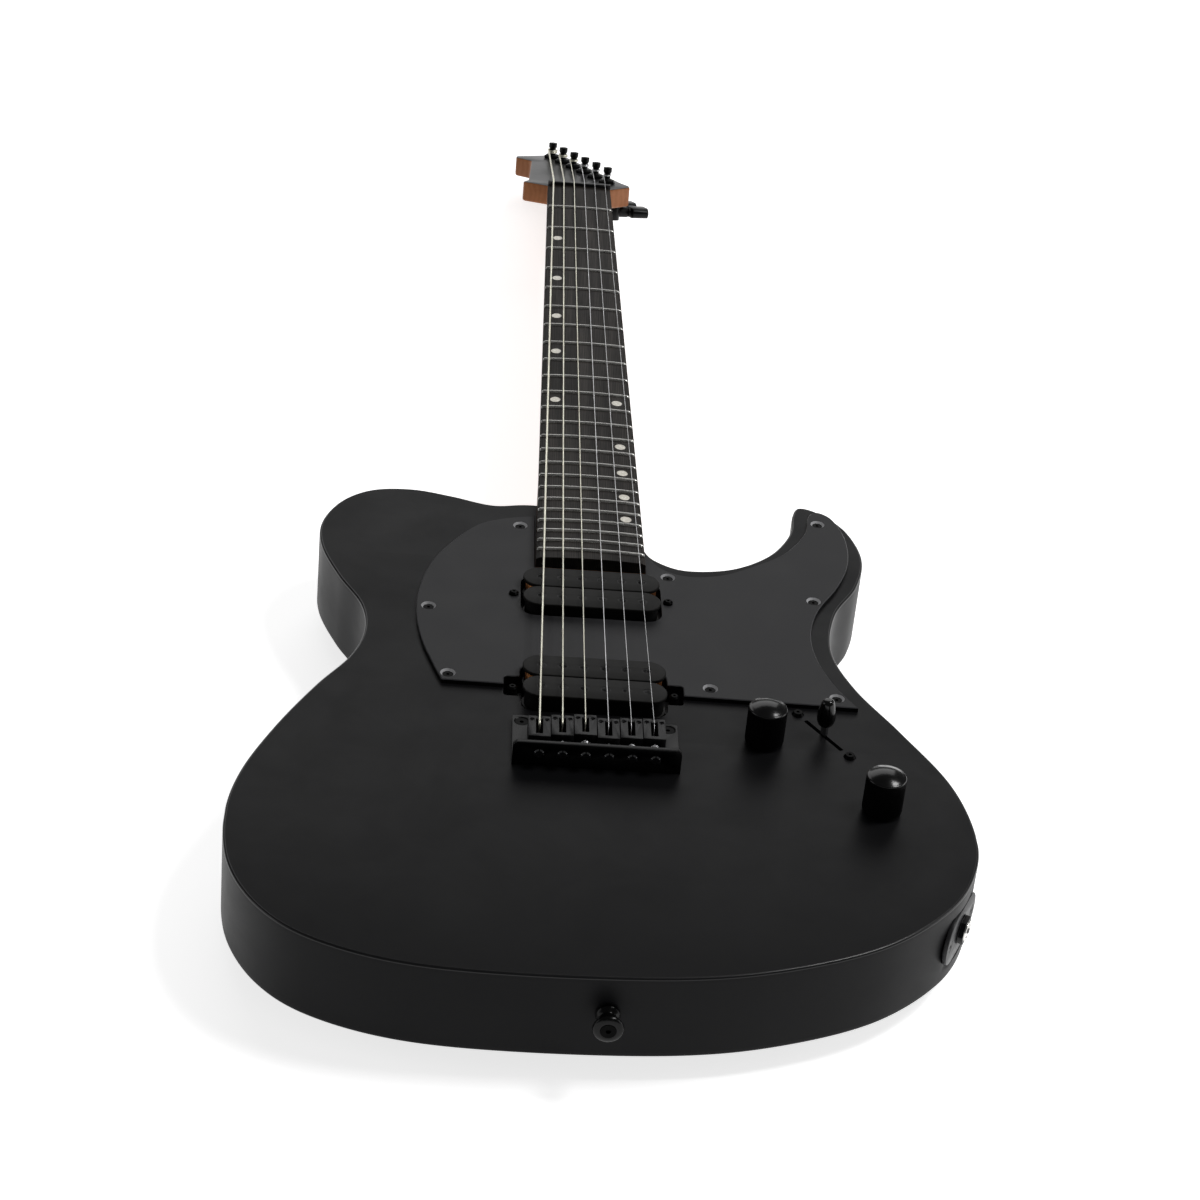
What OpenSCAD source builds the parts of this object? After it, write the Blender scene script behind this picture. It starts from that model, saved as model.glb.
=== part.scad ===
// Solid-body electric guitar, right-handed, lying on its back.
// Millimetres. +Z comes out of the front of the body, +Y runs to the headstock and
// +X is the treble side. The origin is on the back of the body, on the centre line,
// below the scale line of the bridge. String 1 is the highest string, string 6 the lowest.

/* [Scale and strings] */
// Scale length, from the front of the nut to the scale line of the bridge
scale_l = 647.7; // [600:0.1:700]
// Distance between the outer strings at the nut
nut_spread = 34.8; // [32:0.1:38]
// Distance from one string to the next at the bridge
saddle_pitch = 11; // [10.2:0.1:12]
// Height of the strings' undersides above the front of the body, at the saddles
saddle_h = 12; // [11:0.5:16]

/* [Body] */
// Overall width across the lower bout
body_w = 347; // [300:1:400]
// Thickness from back to front
body_t = 44; // [38:1:52]
// Wood left over the control cavity
roof_t = 6; // [4:0.5:9]
// Depth of the neck pocket below the front
pocket_d = 16; // [13:0.5:18]
// Depth of the pickup cavities below the front
pickup_d = 20; // [18:1:26]
// Thickness of the control cavity's cover
cover_t = 2; // [1.5:0.5:3]

/* [Neck] */
// Width of the neck at the nut
nut_w = 42; // [40:0.5:46]
// Width of the neck at the last fret
last_w = 57.5; // [55:0.5:60]
// Number of frets
fret_count = 24; // [22:1:24]
// Height of the neck's flat above the front of the body
neck_rise = 2.5; // [1:0.5:4]
// Depth of the neck's back below its flat, at the nut
depth_nut = 14; // [12:0.5:17]
// Depth of the neck's back below its flat, near the heel
depth_heel = 16; // [14:0.5:19]
// Thickness of the fretboard on its centre line
board_t = 7; // [5:0.5:8]
// Radius across the fretboard's face
board_r = 400; // [240:10:500]
// Height of a fret above the board
fret_h = 1.1; // [0.8:0.1:1.5]

/* [Headstock] */
// Angle that the headstock leans back from the neck, in degrees
head_tilt = 15; // [8:1:17]
// Thickness of the headstock
head_t = 13; // [12:0.5:16]
// Distance from the nut's back to the first tuner post
first_post = 31; // [27:0.5:36]
// Distance from one post to the next, along the headstock
post_pitch = 22.4; // [22:0.2:25]
// Height of a tuner post above the face
post_h = 11; // [11:0.5:16]

/* [Pickguard and pickups] */
// Thickness of the pickguard
guard_t = 2.5; // [2:0.5:4]
// Length of a pickup
pickup_l = 71; // [68:0.5:72]
// Width of a pickup over both bobbins
pickup_w = 37; // [34:0.5:38]
// Height of a pickup's top above the front of the body
pickup_rise = 8.5; // [6:0.5:9]
// Gap around each pickup
pickup_gap = 1; // [0.5:0.25:1.5]

/* [Bridge] */
// Plate left beyond the outer saddles, on each side
bridge_side = 7; // [5.5:0.5:12]
// Height of the bridge's rear wall above the front of the body
wall_h = 13; // [12:0.5:15]
// Thickness of the bridge plate and its wall
bridge_t = 2.5; // [2:0.25:3]
// Length of a saddle block
saddle_l = 18; // [17:0.5:19]
// Gap between neighbouring saddles
saddle_gap = 0.4; // [0.3:0.05:0.6]

/* [Controls] */
// Diameter of a control knob
knob_d = 19; // [17:0.5:22]
// Height of a control knob at its edge
knob_h = 19.5; // [15:0.5:21]
// Diameter of a control shaft
shaft_d = 6; // [6:0.35:6.35]
// Diameter of the plug that the jack takes
plug_d = 6.35; // [6.3:0.05:6.4]
// Diameter of a strap button's head
strap_d = 14; // [12:0.5:17]

/* [Hidden] */
$fn = 48;
strings = [1:6];
pairs = [[-1, -1], [-1, 1], [1, -1], [1, 1]];
eps = 0.01;

// ---------- derived heights and places ----------
running = 0.05;                      // radial clearance of a turning fit
free_gap = 0.4;                      // clearance between parts that pass each other
neck_z = body_t + neck_rise;         // the neck's flat, under the fretboard
board_z = neck_z + board_t;          // the fretboard's face on its centre line
pocket_z = body_t - pocket_d;
last_fret_y = scale_l * pow(2, -fret_count / 12);
board_end = 8.7;                     // board left beyond the last fret
heel_y = last_fret_y - board_end;
heel_l = 72;                         // length of the heel's square block
heel_ref = 153.2;                    // heel place at which the outline below is drawn
body_w_ref = 347;
stretch_y = 60;                      // the outline follows the heel above this line
stretch_x = 60;                      // the outline follows the body's width outside this line
string_d = [0.25, 0.33, 0.43, 0.66, 0.91, 1.17];
nut_l = 4.3;
nut_top = board_z + 1.9;
string_nut_z = board_z + fret_h + 0.4;
string_z0 = body_t + saddle_h;

side_stretch = (body_w / 2 - stretch_x) / (body_w_ref / 2 - stretch_x);

function clamp01(v) = max(0, min(1, v));
function by(y) = y + (heel_y - heel_ref) * clamp01((y - stretch_y) / (heel_ref - stretch_y));
function bx(x) = abs(x) < stretch_x ? x : sign(x) * (stretch_x + (abs(x) - stretch_x) * side_stretch);
function on_body(p) = [bx(p[0]), by(p[1])];
function neck_half(y) = (nut_w + (last_w - nut_w) * (scale_l - y) / (scale_l - last_fret_y)) / 2;
function fret_y(n) = scale_l * pow(2, -n / 12);
function nut_x(n) = nut_spread * (0.5 - (n - 1) / 5);
function saddle_x(n) = saddle_pitch * (3.5 - n);
function string_x(n, y) = saddle_x(n) + (nut_x(n) - saddle_x(n)) * y / scale_l;
function string_z(n, y) = string_z0 + string_d[n - 1] / 2
    + (string_nut_z - string_z0) * y / scale_l;

// ---------- curves ----------
function catmull(a, b, c, d, t) = 0.5 * (2 * b + (c - a) * t
    + (2 * a - 5 * b + 4 * c - d) * t * t + (3 * b - a - 3 * c + d) * t * t * t);
// Smooth closed curve through the points, n steps from each point to the next.
function closed_curve(p, n) = let (m = len(p)) [for (i = [0:m - 1], k = [0:n - 1])
    catmull(p[(i + m - 1) % m], p[i], p[(i + 1) % m], p[(i + 2) % m], k / n)];
// Smooth open curve from the first point to the last.
function open_curve(p, n) = let (m = len(p)) concat([for (i = [0:m - 2], k = [0:n - 1])
    catmull(p[max(i - 1, 0)], p[i], p[i + 1], p[min(i + 2, m - 1)], k / n)], [p[m - 1]]);
function unit(v) = v / norm(v);
// Corner p of radius r between the points a and b, as an arc of k + 1 points.
function corner(a, p, b, r, k = 6) = let (
    u = unit(a - p),
    v = unit(b - p),
    half = acos(u * v) / 2,
    c = p + unit(u + v) * r / sin(half),
    s = p + u * r / tan(half) - c,
    e = p + v * r / tan(half) - c,
    turn = acos(max(-1, min(1, s * e / (r * r)))))
    [for (i = [0:k]) c + (s * sin(turn * (1 - i / k)) + e * sin(turn * i / k)) / sin(turn)];
// Polygon with rounded corners, from points given as [x, y, radius].
function rounded(q) = let (m = len(q)) [for (i = [0:m - 1]) let (
    a = q[(i + m - 1) % m],
    p = q[i],
    b = q[(i + 1) % m])
    each (p[2] > 0 ? corner([a[0], a[1]], [p[0], p[1]], [b[0], b[1]], p[2]) : [[p[0], p[1]]])];
function box_pts(w, h, r) = rounded([[-w / 2, -h / 2, r], [w / 2, -h / 2, r],
                                     [w / 2, h / 2, r], [-w / 2, h / 2, r]]);

module rod(a, b, r) {
    d = b - a;
    translate(a) rotate([0, acos(d[2] / norm(d)), atan2(d[1], d[0])]) cylinder(h = norm(d), r = r);
}
// Directions along a path at its point i, and a side direction carried along it without twist.
function tangent(p, i) = unit(i == 0 ? p[1] - p[0] : i == len(p) - 1 ? p[i] - p[i - 1]
    : unit(p[i + 1] - p[i]) + unit(p[i] - p[i - 1]));
function side_dirs(p, i, last) = i == len(p) ? [] : let (
    t = tangent(p, i),
    n = unit(last - t * (last * t))) concat([n], side_dirs(p, i + 1, n));
// Round wire along a path, as a swept tube with m sides.
module wire(p, r, m = 8) {
    sides = side_dirs(p, 0, [1, 0.02, 0.01]);
    pts = [for (i = [0:len(p) - 1], k = [0:m - 1])
        p[i] + r * (sides[i] * cos(360 * k / m) + cross(tangent(p, i), sides[i]) * sin(360 * k / m))];
    e = (len(p) - 1) * m;
    walls = [for (i = [0:m:e - m], k = [0:m - 1]) let (j = (k + 1) % m)
        each [[i + k, i + m + k, i + m + j], [i + k, i + m + j, i + j]]];
    caps = [[for (k = [0:m - 1]) k], [for (k = [m - 1:-1:0]) e + k]];
    polyhedron(pts, concat(walls, caps));
}
// Plate from z0 up by t, with the outline p.
module slab(p, z0, t) {
    translate([0, 0, z0]) linear_extrude(t) polygon(p);
}
// Countersunk wood screw: its head's top is at the origin and it points down.
module flat_screw(head_d, shank_d, len) {
    head_h = (head_d - shank_d) / 2;
    difference() {
        union() {
            translate([0, 0, -head_h]) cylinder(h = head_h, d1 = shank_d, d2 = head_d);
            translate([0, 0, -len]) cylinder(h = len - head_h + eps, d = shank_d);
        }
        translate([0, 0, -0.6 * head_h]) cylinder(h = head_h, d = 0.35 * head_d, $fn = 6);
    }
}

// ---------- body ----------
body_pts = [[-29, 224], [-52, 221], [-74, 228], [-96, 233], [-118, 229.5], [-134, 215],
    [-143, 191], [-141.5, 166], [-131, 137], [-118, 110], [-115, 85], [-121, 60], [-136, 32],
    [-153, -6], [-166, -45], [-170, -80], [-165, -116], [-149, -146], [-124, -166], [-84, -179],
    [-30, -182.5], [36, -179.5], [83, -169], [127, -149], [159, -119], [174, -88], [177, -58],
    [170, -20], [151, 21], [132, 58], [123, 92], [128, 128], [142, 158], [148, 188],
    [142, 217], [129, 235], [118, 240], [113.5, 231], [110, 209], [97, 185], [76, 168.5],
    [52, 164], [37, 171], [30, 182], [27, 202], [14, 219]];
body_outline = closed_curve([for (p = body_pts) on_body(p)], 4);

knob_at = [on_body([82, 5]), on_body([134, -47])];
switch_at = on_body([112, 14]);
switch_turn = -57;
switch_pitch = 41.3;                 // distance between the switch's screws
slot_l = 29;
slot_w = 2.2;
lever_t = 1.2;
lever_w = 4;
pivot_z = body_t - 16;
cavity_pts = rounded([[60, 34, 10], [104, 48, 10], [126, 38, 10], [154, -42, 14],
                      [136, -64, 14], [108, -52, 14], [62, -6, 10]]);
cover_pts = rounded([[54, 39, 12], [104, 55, 12], [131, 43, 12], [161, -42, 16],
                     [138, -72, 16], [104, -58, 16], [55, -9, 12]]);
cover_screw_at = [[60, 34], [110, 48], [139.5, 7], [147.5, -54], [84, -32.5]];
cover_gap = 0.2;
jack_at = on_body([168, -105]);
jack_turn = -atan(tan(25) * side_stretch);
jack_flat = 2.3;                     // how far the jack's flat is cut into the side
jack_l = 42;
jack_w = 25;
jack_pitch = 31;
jack_z = body_t / 2;
strap_z = body_t / 2 + 2.5;
tail_button_x = 4;
horn_button_x = bx(-96);
horn_y = by(233);
tail_y = -182.6;
string_hole_y = -9.5;                // where the strings pass down through the body
string_hole_r = 1.75;
ferrule_r = 4;
ferrule_l = 10;
neck_bolt_at = [for (p = pairs) [18 * p[0], heel_y + 34 + 18 * p[1]]];
neck_ferrule_r = 7;
neck_ferrule_t = 3;
bolt_d = 4.5;
neck_pickup_y = heel_y - 28.6;
bridge_pickup_y = 39.6;
pickup_ys = [neck_pickup_y, bridge_pickup_y];
pickup_screw_x = pickup_l / 2 + 4.5;
ear_w = 14;
ear_x = pickup_l / 2 + 9;            // how far a pickup's ear wells reach from the centre line
pickup_corner = 8;

// Places a shape on the flat that the jack plate seats on, +Z pointing out of the body.
module at_jack() {
    translate([jack_at[0], jack_at[1], jack_z]) rotate([0, 0, jack_turn]) rotate([0, 90, 0])
        rotate([0, 0, 90]) children();
}
module at_switch() {
    translate([switch_at[0], switch_at[1], 0]) rotate([0, 0, switch_turn]) children();
}
function heel_pts(y0, y1) = [[-neck_half(y0), y0], [neck_half(y0), y0],
                             [neck_half(y1), y1], [-neck_half(y1), y1]];
// Opening around a pickup at y, with its two ear wells.
function pickup_hole(y) = let (g = pickup_gap, l = pickup_l / 2 + g, w = pickup_w / 2 + g)
    rounded([[-l, y - w, pickup_corner], [l, y - w, pickup_corner],
             [l, y - ear_w / 2, 0.5], [ear_x, y - ear_w / 2, 2],
             [ear_x, y + ear_w / 2, 2], [l, y + ear_w / 2, 0.5],
             [l, y + w, pickup_corner], [-l, y + w, pickup_corner],
             [-l, y + ear_w / 2, 0.5], [-ear_x, y + ear_w / 2, 2],
             [-ear_x, y - ear_w / 2, 2], [-l, y - ear_w / 2, 0.5]]);

module body() color([0.12, 0.12, 0.13]) difference() {
    slab(body_outline, 0, body_t);
    // neck pocket, with the neck bolts' holes and their ferrules' seats
    slab(heel_pts(heel_y, heel_y + 3 * heel_l), pocket_z, pocket_d + 1);
    for (p = neck_bolt_at) translate([p[0], p[1], -eps]) {
        cylinder(h = pocket_z + 1, d = bolt_d);
        cylinder(h = neck_ferrule_t + eps, r = neck_ferrule_r);
    }
    // pickup cavities
    for (y = pickup_ys) slab(pickup_hole(y), body_t - pickup_d, pickup_d + 1);
    // strings' holes and their ferrules' seats
    for (n = strings) translate([saddle_x(n), string_hole_y, -1]) {
        cylinder(h = body_t + 2, r = string_hole_r);
        cylinder(h = ferrule_l + 1, r = ferrule_r);
    }
    // control cavity, open at the back, with the cover's recess
    slab([for (p = cavity_pts) on_body(p)], -1, body_t - roof_t + 1);
    slab([for (p = cover_pts) on_body(p)], -1, cover_t + 1);
    for (p = cover_screw_at) translate([on_body(p)[0], on_body(p)[1], cover_t]) cylinder(h = 14, d = 3);
    for (p = knob_at) translate([p[0], p[1], 0]) cylinder(h = body_t + 1, r = bushing_r + 0.2);
    at_switch() {
        translate([-slot_l / 2, -slot_w / 2, body_t - roof_t - 1]) cube([slot_l, slot_w, roof_t + 2]);
        for (s = [-1, 1]) translate([s * switch_pitch / 2, 0, 0]) cylinder(h = body_t + 1, d = 3);
    }
    // jack's flat, its hole, the screws' holes and the way for its leads
    at_jack() {
        slab(box_pts(jack_l + 1, jack_w + 1, 12), -jack_flat, 20);
        translate([0, 0, -40]) cylinder(h = 50, r = jack_r + 1);
        for (s = [-1, 1]) translate([s * jack_pitch / 2, 0, -jack_flat - 14]) cylinder(h = 20, d = 3);
    }
    for (p = channels) rod(p[0], p[1], 3.5);
    // strap buttons' screws
    translate([tail_button_x, tail_y, strap_z]) rotate([-90, 0, 0]) cylinder(h = 24, d = 3.5);
    translate([horn_button_x, horn_y, strap_z]) rotate([90, 0, 0]) cylinder(h = 24, d = 3.5);
    for (p = bridge_screw_at) translate([p[0], p[1], body_t - 22]) cylinder(h = 30, d = 3.5);
    for (p = guard_screw_at) translate([p[0], p[1], body_t - 10]) cylinder(h = 20, d = 2.6);
    for (s = [-1, 1]) translate([s * pickup_screw_x, bridge_pickup_y, body_t - pickup_d - 12])
        cylinder(h = 30, d = 2.8);
}
neck_channel_x = 24;
lead_z = body_t - 12;
pot_lead_z = body_t - roof_t - 18;   // leads at the pots' backs
// straight holes for the leads: jack to control cavity, pickup to pickup, pickup to cavity
channels = [[[jack_at[0] - 22, jack_at[1] + 22, jack_z], [knob_at[1][0], knob_at[1][1] - 5, jack_z]],
            [[neck_channel_x, neck_pickup_y, lead_z], [neck_channel_x, bridge_pickup_y, lead_z]],
            [[34, bridge_pickup_y - 4, lead_z], [knob_at[0][0] - 16, 14, lead_z]]];

module control_cover() color([0.1, 0.1, 0.1]) difference() {
    inset = [for (p = cover_pts) on_body(p)];
    c = on_body([106, -8]);
    k = 1 - cover_gap / 50;
    slab([for (p = inset) c + (p - c) * k], 0, cover_t);
    for (p = cover_screw_at) translate([on_body(p)[0], on_body(p)[1], -1]) {
        cylinder(h = cover_t + 2, d = 3.2);
        translate([0, 0, 1 - eps]) cylinder(h = 1.6, d1 = 6.3, d2 = 3.1);
    }
}

// ---------- neck ----------
// Round back of the neck: a cone whose axis rises from the nut to the heel.
function back_r(half, depth) = (half * half + depth * depth) / (2 * depth);
shaft_y0 = heel_y + heel_l;
shaft_y1 = scale_l + nut_l;
module neck_shaft(y0, y1) intersection() {
    r0 = back_r(neck_half(shaft_y0), depth_heel);
    r1 = back_r(nut_w / 2, depth_nut);
    z0 = neck_z - depth_heel + r0;
    z1 = neck_z - depth_nut + r1;
    rise = atan2(z1 - z0, shaft_y1 - shaft_y0);
    translate([0, shaft_y0, z0]) rotate([-90 + rise, 0, 0])
        cylinder(h = (shaft_y1 - shaft_y0) / cos(rise), r1 = r0, r2 = r1, $fn = 96);
    slab(heel_pts(y0, y1), 0, neck_z);
}
head_z = neck_z + board_t - 3;       // the headstock's face just behind the nut
head_y = scale_l + nut_l;
// the outline below is drawn for these tuner places, and stretches along with them
first_post_ref = 31;
post_pitch_ref = 22.4;
function along_head(y) = y < 0 ? y : y < first_post_ref ? y * first_post / first_post_ref
    : first_post + (y - first_post_ref) * post_pitch / post_pitch_ref;
head_corners = [[-nut_w / 2, -6, 0], [-nut_w / 2, -1, 2], [-38, 11, 4], [-33.5, 22, 6],
    [-30, 120, 8], [-40.5, 132, 3], [-40.5, 141, 4], [-14, 160, 8], [-3, 152, 10],
    [30.5, 38, 8], [35.5, 26, 6], [35.5, 18, 3], [nut_w / 2, -1, 2], [nut_w / 2, -6, 0]];
head_pts = rounded([for (p = head_corners) [p[0], along_head(p[1]), p[2]]]);
tuner_turn = atan2(nut_spread / 5, post_pitch);
function post_at(n) = [nut_x(n) + 2.9, first_post + (n - 1) * post_pitch];
// Places a shape in the headstock's frame: +Y along it from the nut, +Z out of its face.
module at_head() {
    translate([0, head_y, head_z]) rotate([-head_tilt, 0, 0]) children();
}
// Places a shape at the tuner of string n, +X along the button's shaft.
module at_tuner(n) {
    at_head() translate([post_at(n)[0], post_at(n)[1], 0]) rotate([0, 0, tuner_turn]) children();
}
rod_r = 3;
rod_nut_r = 4;
rod_z = neck_z - 4.6;
module neck() color([0.48, 0.26, 0.14]) difference() {
    union() {
        slab(heel_pts(heel_y, shaft_y0), pocket_z, neck_z - pocket_z);
        neck_shaft(shaft_y0, shaft_y1);
        // ramp from the square heel down into the round back
        hull() {
            slab(heel_pts(shaft_y0 - 1, shaft_y0), pocket_z, neck_z - pocket_z - 2);
            translate([-9, shaft_y0 + 40, neck_z - depth_heel + 4]) cube([18, 1, 8]);
        }
        // headstock, and the thickening behind the nut
        at_head() slab(head_pts, -head_t, head_t);
        hull() {
            translate([-10, scale_l - 30, neck_z - depth_nut + 4]) cube([20, 1, 8]);
            at_head() translate([-nut_w / 2 + 2, 2, -head_t + 0.5]) cube([nut_w - 4, 8, head_t - 4]);
        }
    }
    // seat of the fretboard and the nut
    translate([-50, heel_y - 50, neck_z]) cube([100, head_y - heel_y + 50, 40]);
    for (p = neck_bolt_at) translate([p[0], p[1], 0]) cylinder(h = bolt_top, d = bolt_d - 0.4);
    // truss rod's channel, open at the heel for its nut
    translate([-rod_r, heel_y + 30, rod_z - rod_r]) cube([2 * rod_r, rod_end - heel_y - 30, 40]);
    translate([0, heel_y - 1, rod_z]) rotate([-90, 0, 0]) cylinder(h = 31.5, r = rod_nut_r + 0.4);
    at_head() for (n = strings) translate([post_at(n)[0], post_at(n)[1], -head_t - 1])
        cylinder(h = head_t + 2, r = bush_r);
}
bolt_top = neck_z - 4;
rod_end = scale_l - 12;

module neck_bolts() color([0.1, 0.1, 0.1]) for (p = neck_bolt_at) translate([p[0], p[1], 0]) {
    difference() {
        union() {
            translate([0, 0, 1]) cylinder(h = bolt_top - 4, d = bolt_d - 0.4);
            translate([0, 0, 0.2]) cylinder(h = 2.6, d1 = 9, d2 = 4.1);
        }
        translate([0, 0, -eps]) cylinder(h = 2, d = 3, $fn = 6);
    }
}
module back_ferrules() color([0.16, 0.16, 0.17]) {
    for (p = neck_bolt_at) translate([p[0], p[1], 0]) difference() {
        cylinder(h = neck_ferrule_t, r = neck_ferrule_r);
        translate([0, 0, 0.2]) cylinder(h = 2.6, d1 = 9, d2 = 4.1);
        translate([0, 0, -1]) cylinder(h = 1.2 + eps, d = 9);
        translate([0, 0, -1]) cylinder(h = neck_ferrule_t + 2, d = 4.1);
    }
    for (n = strings) translate([saddle_x(n), string_hole_y, 0]) difference() {
        cylinder(h = ferrule_l, r = ferrule_r);
        translate([0, 0, -1]) cylinder(h = 7, r = 2.4);
        translate([0, 0, -1]) cylinder(h = ferrule_l + 2, r = 1.2);
    }
}
// Truss rod with its adjusting nut at the heel end.
module truss_rod() color([0.55, 0.55, 0.57]) {
    translate([0, heel_y + 12, rod_z]) rotate([-90, 0, 0])
        cylinder(h = rod_end - heel_y - 13, r = rod_r - 0.2);
    difference() {
        translate([0, heel_y + 3, rod_z]) rotate([-90, 0, 0]) cylinder(h = 9, r = rod_nut_r);
        translate([0, heel_y + 2, rod_z]) rotate([-90, 0, 0]) cylinder(h = 7, r = 2.4, $fn = 6);
    }
}

// Cylinder along the neck whose top line is at the height z: the fretboard's curve.
module board_curve(z, y0, y1) {
    r = board_r + z - board_z;
    translate([0, y0, board_z - board_r]) rotate([-90, 0, 0]) cylinder(h = y1 - y0, r = r, $fn = 900);
}
dot_d = 6;
dot_depth = 1.5;
bass_dots = [3, 5, 7, 9, 12];
treble_dots = [12, 15, 17, 19, 21];
// Inlay dots lie between the two outer strings, midway between two frets.
module dot_places() {
    for (side = [-1, 1]) for (n = side < 0 ? bass_dots : treble_dots) {
        y = (fret_y(n) + fret_y(n - 1)) / 2;
        x = side < 0 ? (string_x(6, y) + string_x(5, y)) / 2 : (string_x(1, y) + string_x(2, y)) / 2;
        translate([0, y, board_z - board_r]) rotate([0, asin(x / board_r), 0])
            translate([0, 0, board_r - dot_depth]) children();
    }
}
module fretboard() color([0.16, 0.12, 0.1]) difference() {
    intersection() {
        slab(heel_pts(heel_y, scale_l), neck_z, board_t + 1);
        board_curve(board_z, heel_y, scale_l);
    }
    dot_places() cylinder(h = 2 * dot_depth, d = dot_d);
}
module inlay_dots() color([0.9, 0.87, 0.78]) dot_places() cylinder(h = dot_depth, d = dot_d);
fret_w = 2.4;
module frets() color([0.75, 0.75, 0.76]) for (n = [1:fret_count]) difference() {
    y = fret_y(n);
    intersection() {
        board_curve(board_z + fret_h, y - fret_w / 2, y + fret_w / 2);
        translate([-neck_half(y) + 0.2, y - 5, neck_z]) cube([2 * neck_half(y) - 0.4, 10, 20]);
    }
    board_curve(board_z, y - 5, y + 5);
}
module nut() color([0.08, 0.08, 0.08]) difference() {
    translate([-nut_w / 2, scale_l, neck_z]) cube([nut_w, nut_l, nut_top - neck_z]);
    for (n = strings) translate([nut_x(n), scale_l, string_nut_z])
        translate([-string_d[n - 1] / 2 - 0.05, -1, 0]) cube([string_d[n - 1] + 0.1, nut_l + 2, 9]);
    // the top falls away behind the slots
    translate([-50, scale_l + 0.6, nut_top]) rotate([-12, 0, 0]) cube([100, 20, 20]);
}

// ---------- tuners ----------
bush_r = 4.9;
waist_r = 2.1;
shoulder_z = 2.2;                    // the post narrows at its bushing's mouth
worm_y = -7.4;                       // the button's shaft passes beside the post
worm_z = -head_t - 5.2;
case_w = 15;
module tuner_post(n) color([0.1, 0.1, 0.1]) at_tuner(n) difference() {
    union() {
        translate([0, 0, -head_t - 8]) cylinder(h = head_t + 8 + shoulder_z, r = 3);
        translate([0, 0, shoulder_z]) cylinder(h = 1, r1 = 3, r2 = waist_r);
        translate([0, 0, shoulder_z]) cylinder(h = post_h - shoulder_z - 0.5, r = waist_r);
        translate([0, 0, post_h - 4.2]) cylinder(h = 1.2, r1 = waist_r, r2 = 2.9);
        translate([0, 0, post_h - 3]) cylinder(h = 3, r = 2.9);
        translate([0, 0, -head_t - 7.5]) cylinder(h = 4, r = 4.6);
    }
    translate([0, 0, post_h - 1.5]) cylinder(h = 2, r = 1);
}
module tuner_bushings() color([0.12, 0.12, 0.12]) for (n = strings) at_tuner(n) difference() {
    union() {
        cylinder(h = 2, r = 6, $fn = 6);
        translate([0, 0, -8]) cylinder(h = 8 + eps, r = bush_r);
        translate([0, 0, 2]) cylinder(h = 0.8, r1 = 5, r2 = 4.2);
    }
    translate([0, 0, -9]) cylinder(h = 20, r = 3 + running);
}
module tuner_housings() color([0.1, 0.1, 0.1]) for (n = strings) at_tuner(n) difference() {
    union() {
        slab([for (p = box_pts(case_w, 20, 4)) p + [0, -2.5]], -head_t - 10.5, 10.5);
        translate([0, worm_y, worm_z]) rotate([0, 90, 0]) cylinder(h = 13.5, r = 3.6);
    }
    // room for the post's gear and the button's worm
    translate([0, 0, -head_t - 8.5]) cylinder(h = 9, r = 5);
    translate([-5.5, worm_y, worm_z]) rotate([0, 90, 0]) cylinder(h = 11, r = 2.9);
    translate([0, worm_y, worm_z]) rotate([0, 90, 0]) cylinder(h = 20, r = 2 + running);
}
button_x0 = 14.2;
button_l = 12.5;
module tuner_button(n) color([0.1, 0.1, 0.1]) at_tuner(n) translate([0, worm_y, worm_z]) {
    translate([-5, 0, 0]) rotate([0, 90, 0]) cylinder(h = 10, r = 2.3);
    rotate([0, 90, 0]) cylinder(h = button_x0 + 2, r = 2);
    translate([button_x0, 0, 0]) rotate([0, 90, 0]) {
        cylinder(h = 1.6, r = 3.2);
        translate([0, 0, 1.5]) linear_extrude(button_l - 1.5) polygon(box_pts(7, 15, 3.4));
    }
}

// ---------- pickguard ----------
guard_bass = [[-29.5, 207], [-45, 203], [-60, 194], [-74, 173], [-84, 150], [-89, 124],
              [-89.5, 100], [-86, 76], [-80, 55], [-75, 40]];
guard_treble = [[131, 36.5], [121, 56], [114, 80], [113, 104], [119, 128], [131, 152],
                [139, 177], [140, 203], [135, 224], [127, 231.5], [121.5, 226], [118, 207],
                [106, 185], [89, 169.5], [70, 157], [52, 153.5], [39, 159], [31, 171]];
guard_screw_at = [for (p = [[-37, 196], [-83.5, 108], [-72, 46], [41, 151], [126, 218],
                            [117, 136], [58, 46], [121, 44]]) on_body(p)];
guard_gap = 0.3;
guard_outline = concat(open_curve([for (p = guard_bass) on_body(p)], 4),
                       open_curve([for (p = guard_treble) on_body(p)], 4));
module pickguard() color([0.24, 0.24, 0.25]) difference() {
    slab(guard_outline, body_t, guard_t);
    slab([[-neck_half(heel_y) - guard_gap, heel_y - guard_gap],
          [neck_half(heel_y) + guard_gap, heel_y - guard_gap],
          [neck_half(heel_y) + guard_gap, heel_y + 90],
          [-neck_half(heel_y) - guard_gap, heel_y + 90]], body_t - 1, guard_t + 2);
    slab(pickup_window(neck_pickup_y), body_t - 1, guard_t + 2);
    slab(pickup_hole(bridge_pickup_y), body_t - 1, guard_t + 2);
    for (s = [-1, 1]) translate([s * pickup_screw_x, neck_pickup_y, 0]) cylinder(h = body_t + 9, d = 3.2);
    for (p = guard_screw_at) translate([p[0], p[1], body_t - 1]) {
        cylinder(h = 9, d = 3.2);
        translate([0, 0, guard_t - 1.2]) cylinder(h = 2.25, d1 = 3.1, d2 = 7.6);
    }
}
// Opening in the pickguard around the neck pickup.
function pickup_window(y) = [for (p = box_pts(pickup_l + 2 * pickup_gap, pickup_w + 2 * pickup_gap,
                                              pickup_corner)) p + [0, y]];
module pickguard_screws() color([0.1, 0.1, 0.1]) for (p = guard_screw_at)
    translate([p[0], p[1], body_t + guard_t - 0.9]) flat_screw(5.4, 2.6, 9);

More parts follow.
